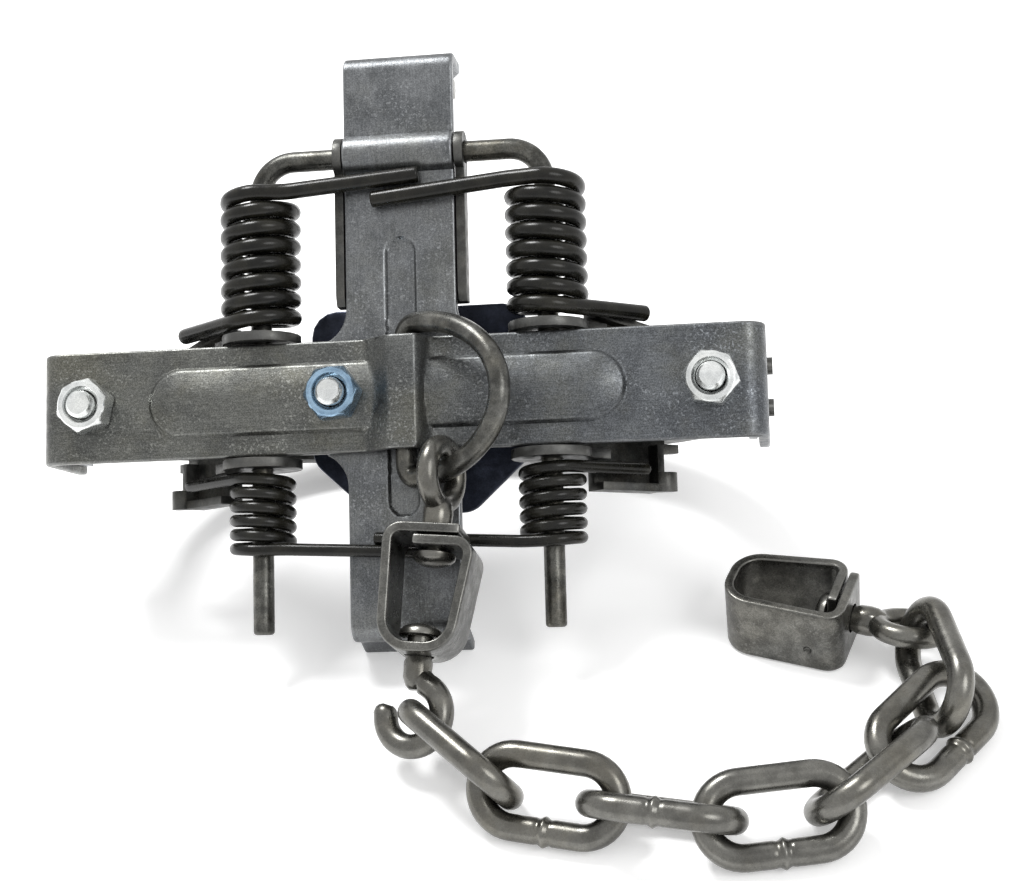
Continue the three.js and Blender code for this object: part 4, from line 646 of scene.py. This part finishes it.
def base_bar():
    left, right = BAR_MIDDLE_X - BAR_HALF, BAR_MIDDLE_X + BAR_HALF
    bent = bent_line([(left, BAR_POST_HEIGHT), (left, 0, BAR_BEND),
                      (right, 0, BAR_BEND), (right, BAR_POST_HEIGHT)])
    flat_left, flat_right = left + BAR_BEND, right - BAR_BEND
    line = [p for p in bent if p.x < flat_left + 0.01]

    # Stations along, closer at the ribs' ends and over the tunnel
    rib_ends = ((RIB_LEFT_END - 0.5, RIB_LEFT_END + RIB_WIDTH / 2),
                (RIB_RIGHT_END - RIB_WIDTH / 2, RIB_RIGHT_END + 0.5))
    x = flat_left + 0.8
    while x < flat_right - 0.3:
        line.append(Vector((x, 0)))
        if any(low <= x <= high for low, high in rib_ends):
            x += RIB_END_STEP
        else:
            x += HUMP_STEP if HUMP_FINE_FROM < x < HUMP_FINE_TO else BAR_STEP
    line += [p for p in bent if p.x > flat_right - 0.01]

    # Columns across: the crown, the flank, and the flat to the edge
    flat_half = BAR_WIDTH / 2 - BAR_EDGE
    foot, top = RIB_WIDTH / 2, RIB_WIDTH / 2 - RIB_FLANK_WIDTH
    side = [top + (foot - top) * k / 4 for k in range(5)]
    side += [foot + (flat_half - foot) * k / 6 for k in range(1, 7)]
    middle = [top * (k / 16 - 1) for k in range(1, 32)]
    columns = [-y / flat_half for y in side[::-1]] + [y / flat_half for y in middle + side]
    obj = strip("base_bar_dressed", line, BAR_WIDTH / 2, BAR_SHEET, lambda a, b, w: (a, w, b),
                TRAP, columns=columns, edge=BAR_EDGE, step=4, emboss=bar_relief)
    cutters = [drill("z", BOLT_RADIUS + BOLT_CLEARANCE, -8, 6, (x, 0), TRAP)
               for x in (*END_BOLTS_X, MIDDLE_BOLT_X)]
    pin_hole = JAW_PIN_RADIUS + JAW_PIN_CLEARANCE
    cutters += [drill("x", pin_hole, x - 6, x + 6, (y, JAW_PIVOT_Z), TRAP)
                for x in (left, right) for y in (-JAW_PIVOT_Y, JAW_PIVOT_Y)]
    combine(obj, cutters, "DIFFERENCE")
    use(obj, "base_bar", BAR_STEEL)


# Cross member

def cross_half(p):
    """The half width: flared where the base bar crosses, narrower up the dog's post."""
    y = abs(p.x)
    flat, r = BAR_WIDTH / 2, CROSS_FLARE_RADIUS
    drop = math.sqrt(r * r - (r - CROSS_FLARE) ** 2)
    if p.y < CROSS_BACK + 1 and y <= flat:
        return CROSS_HALF + CROSS_FLARE
    if p.y < CROSS_BACK + 1 and y < flat + drop:
        return CROSS_HALF + r - math.sqrt(max(0, r * r - (flat + drop - y) ** 2))
    taper_start, taper_end = DOG_PIVOT_Z / 2, DOG_PIVOT_Z - DOG_KNUCKLE - FIT
    if p.x < ROD_CROSS_Y and p.y > taper_start:
        t = min(1, (p.y - taper_start) / (taper_end - taper_start))
        return CROSS_HALF + (DOG_POST_TOP_HALF - CROSS_HALF) * t
    return CROSS_HALF


def cross_relief(p, x):
    """The pressed slot, which is sunk."""
    start, end = CROSS_BEAD_ENDS
    half = CROSS_BEAD_WIDTH / 2
    y = min(max(p.x, start + half), end - half)
    inside = half + CROSS_BEAD_BEYOND - math.hypot(x, p.x - y)
    return -CROSS_BEAD_DEPTH * smooth(inside / CROSS_BEAD_FLANK)


def cross_member():
    start, steps = math.asin((ROD_Z - CROSS_FACE) / BARREL_RADIUS), 18
    barrel = []
    for i in range(steps + 1):
        angle = math.pi + start + (math.pi - 2 * start) * i / steps
        barrel.append((ROD_CROSS_Y + BARREL_RADIUS * math.cos(angle),
                       ROD_Z + BARREL_RADIUS * math.sin(angle)))
    line = bent_line([
        (DOG_POST_Y, DOG_PIVOT_Z), (DOG_POST_Y, CROSS_FACE, DOG_POST_BEND), *barrel,
        (CROSS_FOOT_Y, CROSS_FACE, CROSS_FOOT_BEND), (CROSS_FOOT_Y, CROSS_LIP_START),
        (CROSS_LIP_Y, CROSS_LIP_HEIGHT),
    ])
    obj = strip("cross_member_dressed", line, cross_half, CROSS_SHEET, lambda a, b, w: (w, a, b),
                TRAP, columns=64, edge=CROSS_EDGE, step=0.55, emboss=cross_relief)
    slot_half, low = DOG_WIDTH / 2 + FIT, DOG_PIVOT_Z - DOG_KNUCKLE - FIT
    high = low + SLOT_HEIGHT
    slot = [[(-slot_half, y, low), (slot_half, y, low), (slot_half, y, high),
             (-slot_half, y, high)] for y in (DOG_POST_Y - 1, DOG_POST_Y + CROSS_SHEET + 2)]
    combine(obj, [rings("cutter", slot, TRAP),
                  drill("z", BOLT_RADIUS + BOLT_CLEARANCE, 0, 8, (MIDDLE_BOLT_X, 0), TRAP)],
            "DIFFERENCE")
    centre = (DOG_PIVOT_Y, DOG_PIVOT_Z)
    outer, small = DOG_POST_TOP_HALF, DOG_KNUCKLE - KNUCKLE_CHAMFER
    profile = [(slot_half, small), (slot_half + KNUCKLE_CHAMFER, DOG_KNUCKLE),
               (outer - KNUCKLE_CHAMFER, DOG_KNUCKLE), (outer, small)]
    combine(obj, [turned("knuckle", [(side * x, r) for x, r in profile], TRAP, centre=centre)
                  for side in (-1, 1)], "UNION")
    combine(obj, [drill("x", DOG_PIN_RADIUS + FIT, -20, 20, centre, TRAP)], "DIFFERENCE")
    use(obj, "cross_member", CROSS_STEEL)


base_bar()
cross_member()
for node, edge, slot, finish in (
    ("rod_bracket", 0.35, "stamped_steel", LEVER_STEEL),
    ("pan_bracket", 0.35, "stamped_steel", CROSS_STEEL),
    ("pivot_plate_left", 0.35, "stamped_steel", CROSS_STEEL),
    ("pivot_plate_right", 0.35, "stamped_steel", CROSS_STEEL),
    ("lever_left", 0.4, "dark_steel", LEVER_STEEL),
    ("lever_right", 0.4, "dark_steel", LEVER_STEEL),
    ("jaw_dog_side", 0.4, "dark_steel", LEVER_STEEL),
    ("jaw_far_side", 0.4, "dark_steel", LEVER_STEEL),
    ("dog", 0.4, "dark_steel", LEVER_STEEL),
    ("pan", 0.4, "dark_steel", PAN_STEEL),
    ("pan_pin", 0.3, "zinc_steel", ZINC),
    ("dog_pin", 0.3, "chain_steel", CHAIN_STEEL),
):
    use(copy_of(node, edge), node, finish)


# Rod and springs

def rod():
    line = bent_line([
        (-ROD_HALF_SPAN, ROD_LEG_END_Y), (-ROD_HALF_SPAN, ROD_CROSS_Y, ROD_BEND),
        (ROD_HALF_SPAN, ROD_CROSS_Y, ROD_BEND), (ROD_HALF_SPAN, ROD_LEG_END_Y),
    ], 16)
    points = [(p.x, p.y, ROD_Z) for p in finer(line, 6)]
    obj = wire("spring_rod_dressed", points, ROD_RADIUS, TRAP, sides=28, tip=0.35)
    use(obj, "spring_rod", ROD_STEEL)


def spring(node, spec, side, end, leg_end):
    """A coil round the rod. Its outer leg lies on the cross member's face, its inner leg on the lever."""
    steps = 28
    sweep = 2 * math.pi * spec["turns"] + LEVER_REST
    total = round(sweep / (2 * math.pi) * steps)
    length = spec["pitch"] * sweep / (2 * math.pi)
    radius, width = spec["radius"], spec["wire"]
    coil = []
    for i in range(total + 1):
        angle = -math.pi / 2 + sweep * i / total
        along = spec["start"] + length * (1 - i / total)
        coil.append(Vector((side * (ROD_HALF_SPAN + radius * math.cos(angle)), end * along,
                            ROD_Z + radius * math.sin(angle))))
    face = CROSS_FACE - width / 2 - FIT
    outer = Vector((*leg_end, face))
    lead = Vector((side * (ROD_HALF_SPAN - radius), coil[0].y, (coil[0].z + face) / 2))
    outer_leg = rounded([outer, lead, coil[0], coil[1]], SPRING_LEG_BEND)[:-3]
    inner = Vector((side * math.cos(LEVER_REST), 0, math.sin(LEVER_REST)))
    inner_leg = [coil[-1] + inner * k for k in (2, 4, 8, 14, 20, SPRING_INNER_LEG)]
    obj = wire(node + "_dressed", outer_leg + coil[1:] + inner_leg, width / 2, TRAP, sides=16)
    first = TRAP @ Vector((side * ROD_HALF_SPAN, end * (spec["start"] + length), ROD_Z)) * MM
    last = TRAP @ Vector((side * ROD_HALF_SPAN, end * (spec["start"] + 0.2), ROD_Z)) * MM
    body = "lever_left" if side < 0 else "lever_right"
    use(obj, node, SPRING_STEEL, 60, blend=("frame", body, first, last))


rod()
spring("spring_dog_left", DOG_SPRING, -1, -1, (5, -49.9))
spring("spring_dog_right", DOG_SPRING, 1, -1, (-6, -44.6))
spring("spring_foot_left", FOOT_SPRING, -1, 1, (8, 35.4))
spring("spring_foot_right", FOOT_SPRING, 1, 1, (-6.5, 31.9))


# Bolts and nuts

def hexagonal(name, stations, x, turn, bore=0.0):
    """A nut or a bolt's head. Stations are (z, most radius), so that its corners are turned. A
    bore is countersunk at both ends, more at the last station."""
    sides = 72
    sections = []
    for z, most in stations:
        ring = []
        for k in range(sides):
            a = 2 * math.pi * k / sides
            local = (a + math.pi / 6) % (math.pi / 3) - math.pi / 6
            r = min(NUT_HALF / math.cos(local), most)
            ring.append((x + r * math.cos(a + turn), r * math.sin(a + turn), z))
        sections.append(ring)
    if bore:
        first, last = stations[0][0], stations[-1][0]
        for z, r in ((last, bore + 0.75), (last + 0.9, bore), (first - 0.35, bore),
                     (first, bore + 0.35)):
            sections.append([(x + u, v, z) for u, v in circle(r, sides, turn)])
    return rings(name, sections, TRAP, closed=bool(bore))


def nut(node, face_z, x, turn_deg, material):
    top = face_z - FIT
    bottom = top - NUT_HEIGHT
    stations = [
        (top, NUT_HALF - 0.1), (top - 0.35, NUT_CORNER - 0.25), (top - 0.7, NUT_CORNER),
        (bottom + 1.7, NUT_CORNER), (bottom + 1.05, NUT_CORNER - 0.3), (bottom + 0.4, NUT_HALF),
        (bottom + 0.08, NUT_HALF - 0.3), (bottom, NUT_HALF - 0.65),
    ]
    turn = math.radians(turn_deg)
    use(hexagonal(node + "_dressed", stations, x, turn, BOLT_RADIUS + FIT), node, material,
        32)


def bolt(node, head_z, nut_z, x):
    """A threaded bolt with a chamfered end and a hexagonal head."""
    end = nut_z - FIT - NUT_HEIGHT - BOLT_BEYOND_NUT
    under = head_z + FIT
    sides, pitch, depth, crest = 32, 1.27, 0.42, 1.3
    chamfer, slope, plain = 0.9, 0.85, 1.4
    sections = []
    z = end
    while z < under:
        ring = []
        for k in range(sides):
            a = 2 * math.pi * k / sides
            phase = ((z - end) / pitch + k / sides) % 1
            r = BOLT_RADIUS - depth * (1 - abs(2 * phase - 1)) ** crest
            r = min(r, BOLT_RADIUS - slope * max(0, chamfer - (z - end)))
            if z > under - plain:
                r = BOLT_RADIUS
            ring.append((x + r * math.cos(a), r * math.sin(a), z))
        sections.append(ring)
        z += pitch / 6
    sections.append([(x + u, v, under + 0.5) for u, v in circle(BOLT_RADIUS, sides)])
    obj = rings(node + "_dressed", sections, TRAP)
    top = under + BOLT_HEAD_HEIGHT
    head = hexagonal("head", [
        (under, NUT_HALF - 0.2), (under + 0.2, NUT_CORNER - 0.15), (under + 0.5, NUT_CORNER),
        (top - 1, NUT_CORNER), (top - 0.55, NUT_CORNER - 0.35), (top - 0.15, NUT_HALF - 0.1),
        (top, NUT_HALF - 0.5),
    ], x, 0)
    combine(obj, [head], "UNION")
    use(obj, node, ZINC, 32)


bolt("end_bolt_left", PLATE_BACK, 0, END_BOLTS_X[0])
bolt("end_bolt_right", PLATE_BACK, 0, END_BOLTS_X[1])
bolt("middle_bolt", BRACKET_BACK, -RIB_HEIGHT, MIDDLE_BOLT_X)
nut("end_nut_left", 0, END_BOLTS_X[0], 12, ZINC)
nut("end_nut_right", 0, END_BOLTS_X[1], 40, ZINC)
nut("middle_nut", -RIB_HEIGHT, MIDDLE_BOLT_X, 25, BLUE_ZINC)


# Ring

def ring_points():
    """A D: a straight leg, two tight corners and a wide bow."""
    bow = RING_REACH - RING_CORNER
    points = [(0, RING_LEG_HALF * (k / 6 - 1), 0) for k in range(12)]
    for i in range(8):
        a = math.pi - math.pi / 2 * i / 8
        points.append((RING_CORNER + RING_CORNER * math.cos(a),
                       RING_LEG_HALF + RING_CORNER * math.sin(a), 0))
    for i in range(36):
        a = math.pi / 2 - math.pi * i / 36
        points.append((RING_CORNER + bow * math.cos(a), RING_HALF_HEIGHT * math.sin(a), 0))
    for i in range(8):
        a = -math.pi / 2 - math.pi / 2 * i / 8
        points.append((RING_CORNER + RING_CORNER * math.cos(a),
                       -RING_LEG_HALF + RING_CORNER * math.sin(a), 0))
    return points


ring_place = (TRAP @ Matrix.Translation((RING_LEG_X, RING_SHIFT_Y, RING_LEG_Z))
              @ Matrix.Rotation(RING_TILT, 4, "Y"))
use(wire("d_ring_dressed", ring_points(), RING_WIRE / 2, ring_place, sides=28, closed=True),
    "d_ring", RING_STEEL, 60)


# Swivels

def swivel_frame():
    """The first swivel's frame in the trap's: x along the shank away from the eye."""
    along = (EYE_AT_RING_X - RING_LEG_X) / math.cos(RING_TILT)
    sine = math.sqrt(1 - ((along - RING_CORNER) / (RING_REACH - RING_CORNER)) ** 2)
    centre = Vector((EYE_AT_RING_X, RING_SHIFT_Y + RING_HALF_HEIGHT * sine + EYE_SETBACK_Y,
                     RING_LEG_Z - along * math.sin(RING_TILT) - EYE_SETBACK_Z))
    turn = Matrix.Rotation(-SWIVEL_LIFT, 3, "X") @ Matrix.Rotation(SWIVEL_SIDE, 3, "Z")
    shank = turn @ Vector((0, 1, 0))
    across = (Vector((1, 0, 0)) - shank * shank.x).normalized()
    out = shank.cross(across)
    return Matrix.Translation(centre) @ Matrix((shank, across, out)).transposed().to_4x4()


def rivet_head(face, way):
    """The profile of a round head, from its face outwards."""
    h, r = RIVET_HEIGHT, RIVET_RADIUS
    return [(face + way * t, radius) for t, radius in (
        (0.02, r - 0.3), (0.3, r), (0.45 * h, r - 0.12), (0.72 * h, 0.8 * r), (0.92 * h, 0.5 * r),
        (h, 0.16 * r))]


def eye(node, place, turn_deg):
    turn, steps = math.radians(turn_deg), 40
    points = []
    for i in range(steps):
        a = 2 * math.pi * i / steps
        w = EYE_RADIUS * math.sin(a)
        points.append((EYE_RADIUS * math.cos(a), w * math.sin(turn), w * math.cos(turn)))
    obj = wire(node + "_dressed", points, EYE_WIRE / 2, place, closed=True)
    inside = EYE_TO_BOX + 2 * BOX_STRAP + BOX_LAP_GAP + RIVET_PLAY
    shank = turned("shank", [
        (EYE_RADIUS - 1.2, 2.2), (EYE_RADIUS + 0.6, 3.1), (EYE_RADIUS + 2.2, 3.3),
        (EYE_TO_BOX - 1.6, 3.2), (EYE_TO_BOX - 0.5, SHANK_RADIUS), (inside, SHANK_RADIUS),
        *rivet_head(inside, 1),
    ], place)
    combine(obj, [shank], "UNION")
    use(obj, node, CHAIN_STEEL, 50)


def swivel_box(node, place, hook_hole):
    """A strap bent round to a box, its ends lapped at the eye. Without a hook its side has the
    two pits."""
    half = BOX_WIDTH / 2
    inner = EYE_TO_BOX + BOX_STRAP + BOX_LAP_GAP
    line = bent_line([
        (EYE_TO_BOX, BOX_LAP_START), (EYE_TO_BOX, -half, BOX_CORNER),
        (NOSE_X, -half * BOX_NOSE_SIDES[0], BOX_NOSE_RADIUS),
        (NOSE_X, half * BOX_NOSE_SIDES[1], BOX_NOSE_RADIUS), (inner, half, BOX_CORNER),
        (inner, BOX_LAP_GAP + BOX_STRAP - half + BOX_CORNER),
    ], 14)
    obj = strip(node + "_dressed", line, BOX_DEPTH / 2, BOX_STRAP, lambda a, b, w: (a, b, w),
                place, columns=12, edge=BOX_EDGE, step=1.4)
    hole = SHANK_RADIUS + SHANK_CLEARANCE
    cutters = [drill("x", hole, EYE_TO_BOX - 1, inner + BOX_STRAP + 1, (0, 0), place)]
    if hook_hole:
        cutters.append(drill("x", hole, NOSE_X - BOX_STRAP - 1, NOSE_X + 1, (NOSE_Y, 0), place))
    else:
        sideways = place @ Matrix.Rotation(-math.pi / 2, 4, "Z")
        for along, up in BOX_PITS:
            face = half * (1 - (1 - BOX_NOSE_SIDES[0]) * along / BOX_LENGTH)
            profile = [(face - 0.6, 0.35), (face - 0.35, 0.75), (face + 0.3, 1.2)]
            cutters.append(
                turned("pit", profile, sideways, centre=(EYE_TO_BOX + along, -up), sides=14))
    combine(obj, cutters, "DIFFERENCE")
    use(obj, node, BOX_STEEL)


def swivel_hook(place):
    inside = NOSE_X - BOX_STRAP - HOOK_RIVET_PLAY
    neck = HOOK_CENTRE_X - HOOK_RADIUS
    sweep, steps = math.radians(360 - HOOK_MOUTH), 40
    points = [(neck + 0.4, 0, 0)]
    for i in range(1, steps + 1):
        a = math.pi - sweep * i / steps
        points.append((HOOK_CENTRE_X + HOOK_RADIUS * math.cos(a), HOOK_RADIUS * math.sin(a), 0))
    obj = wire("swivel_hook_dressed", points, HOOK_WIRE / 2, place, tip=0.75)
    shank = turned("shank", [
        *rivet_head(inside, -1)[::-1], (inside, SHANK_RADIUS), (NOSE_X + 0.5, SHANK_RADIUS),
        (NOSE_X + 1.2, 3.1), (neck - 1, 3.0), (neck + 0.8, 2.3), (neck + 1.6, 1.5),
    ], place)
    combine(obj, [shank], "UNION")
    use(obj, "swivel_hook", CHAIN_STEEL, 50)


swivel = TRAP @ swivel_frame()
eye("swivel_eye_1", swivel, EYE_1_TURN)
swivel_box("swivel_box_1", swivel, True)
swivel_hook(swivel @ Matrix.Translation((0, NOSE_Y, 0))
            @ Matrix.Rotation(math.radians(HOOK_TURN), 4, "X"))


# Chain

def direction(heading, pitch=0.0):
    return Vector((math.cos(heading) * math.cos(pitch), math.sin(heading) * math.cos(pitch),
                   math.sin(pitch)))


def link(node, near, heading, pitch, tilt, weld):
    """One link, from its near end's centre. A weld's ridge has a groove on either side."""
    straight = LINK_REACH - LINK_ARC
    points = []
    for s in (1, -1):
        for i in range(21):
            a = -math.pi / 2 + math.pi * i / 20
            points.append(Vector((s * (straight + LINK_ARC * math.cos(a)),
                                  s * LINK_ARC * math.sin(a), 0)))
        last = points[-1]
        points += [Vector((last.x - s * 2 * straight * k / 48, last.y, 0)) for k in range(1, 48)]
    sizes = [LINK_WIRE / 2] * len(points)
    if weld:
        for i, p in enumerate(points):
            if i > len(points) / 2 and p.y < 0 and abs(p.x) < straight:
                from_groove = (abs(p.x) - WELD_GROOVE_X) / WELD_GROOVE_WIDTH
                swell = WELD_SWELL * math.exp(-((p.x / WELD_WIDTH) ** 2))
                sizes[i] += swell - WELD_GROOVE * math.exp(-(from_groove ** 2))
    centre = near + direction(heading, pitch) * LINK_REACH
    place = (FLOOR @ Matrix.Translation(centre) @ Matrix.Rotation(heading, 4, "Z")
             @ Matrix.Rotation(-pitch, 4, "Y") @ Matrix.Rotation(tilt, 4, "X"))
    obj = wire(node + "_dressed", points, sizes, place, closed=True)
    use(obj, node, CHAIN_STEEL, 60)


def chain():
    """The links from the hook on, each resting on the floor. Gives the second swivel's frame."""
    centre = FLOOR.inverted() @ swivel @ Vector((HOOK_CENTRE_X, NOSE_Y, 0))
    near = centre + direction(math.radians(CHAIN[0][0])) * HOOK_PULL
    for i, (heading_deg, turn_deg, slack, aside, weld) in enumerate(CHAIN):
        heading, turn = math.radians(heading_deg), math.radians(turn_deg)
        height = (LINK_ARC * abs(math.sin(turn)) + LINK_WIRE / 2 + FLOOR_PLAY
                  + (WELD_SWELL / 2 if weld else 0))
        if i:
            near.z = height
        pitch = math.asin((height - near.z) / (2 * LINK_REACH))
        link(f"chain_link_{i + 1}", near.copy(), heading, pitch, turn, weld)
        near += direction(heading, pitch) * 2 * LINK_REACH
        if i + 1 < len(CHAIN):
            following = direction(math.radians(CHAIN[i + 1][0]))
            between = (direction(heading) + following).normalized()
            near -= between * (LINK_WIRE + LINK_PLAY + slack)
            near += Vector((-between.y, between.x, 0)) * aside
    heading = math.radians(SECOND_SWIVEL_HEADING)
    near += direction(heading) * SECOND_EYE_ALONG
    near += direction(heading + math.pi / 2) * SECOND_EYE_ASIDE
    near.z = BOX_DEPTH / 2 + FLOOR_PLAY
    return (FLOOR @ Matrix.Translation(near) @ Matrix.Rotation(heading, 4, "Z")
            @ Matrix.Rotation(math.pi, 4, "X"))


second = chain()
eye("swivel_eye_2", second, EYE_2_TURN)
swivel_box("swivel_box_2", second, False)


# Floor, light and world

FLOOR_SIZE, FLOOR_WHITE = 3, 0.94
FLOOR_LIFT = 0.3  # brings the lit floor up to white and leaves its shadows
WORLD_LIGHT = 0.7


def seen_directly(tree):
    """One for camera and glossy rays, so that metal shows the same background."""
    path = tree.nodes.new("ShaderNodeLightPath")
    return maths(tree, "MAXIMUM", path.outputs["Is Camera Ray"], path.outputs["Is Glossy Ray"])


def stage():
    s = FLOOR_SIZE
    mesh = bpy.data.meshes.new("floor")
    mesh.from_pydata([(-s, -s, 0), (s, -s, 0), (s, s, 0), (-s, s, 0)], [], [(0, 1, 2, 3)])
    floor = in_scene("floor", mesh)
    pale = bpy.data.materials.new("floor_white")
    pale.use_nodes = True
    tree = pale.node_tree
    shader = tree.nodes["Principled BSDF"]
    shader.inputs["Base Color"].default_value = (FLOOR_WHITE, FLOOR_WHITE, FLOOR_WHITE, 1)
    shader.inputs["Roughness"].default_value = 0.9
    shader.inputs["Specular IOR Level"].default_value = 0
    glow = tree.nodes.new("ShaderNodeEmission")
    lift = maths(tree, "MULTIPLY", seen_directly(tree), FLOOR_LIFT)
    tree.links.new(lift, glow.inputs["Strength"])
    both = tree.nodes.new("ShaderNodeAddShader")
    tree.links.new(shader.outputs[0], both.inputs[0])
    tree.links.new(glow.outputs[0], both.inputs[1])
    tree.links.new(both.outputs[0], tree.nodes["Material Output"].inputs["Surface"])
    mesh.materials.append(pale)

    world = bpy.data.worlds.new("world")
    bpy.context.scene.world = world
    world.use_nodes = True
    tree = world.node_tree
    seen, lit = tree.nodes["Background"], tree.nodes.new("ShaderNodeBackground")
    for background in (seen, lit):
        background.inputs["Color"].default_value = (1, 1, 1, 1)
    lit.inputs["Strength"].default_value = WORLD_LIGHT
    choose = tree.nodes.new("ShaderNodeMixShader")
    tree.links.new(seen_directly(tree), choose.inputs["Fac"])
    tree.links.new(lit.outputs[0], choose.inputs[1])
    tree.links.new(seen.outputs[0], choose.inputs[2])
    tree.links.new(choose.outputs[0], tree.nodes["World Output"].inputs["Surface"])


def lamp(name, place, size, power):
    """A round lamp aimed at the middle of the trap."""
    data = bpy.data.lights.new(name, "AREA")
    data.shape = "DISK"
    data.size = size
    data.energy = power
    obj = in_scene(name, data)
    obj.location = place
    aim = Vector((0, 0, 0.03)) - Vector(place)
    obj.rotation_euler = aim.to_track_quat("-Z", "Y").to_euler()


stage()
lamp("key", (-0.35, 0.35, 0.9), 0.35, 9)
lamp("fill", (0.7, -0.5, 0.8), 0.6, 4)
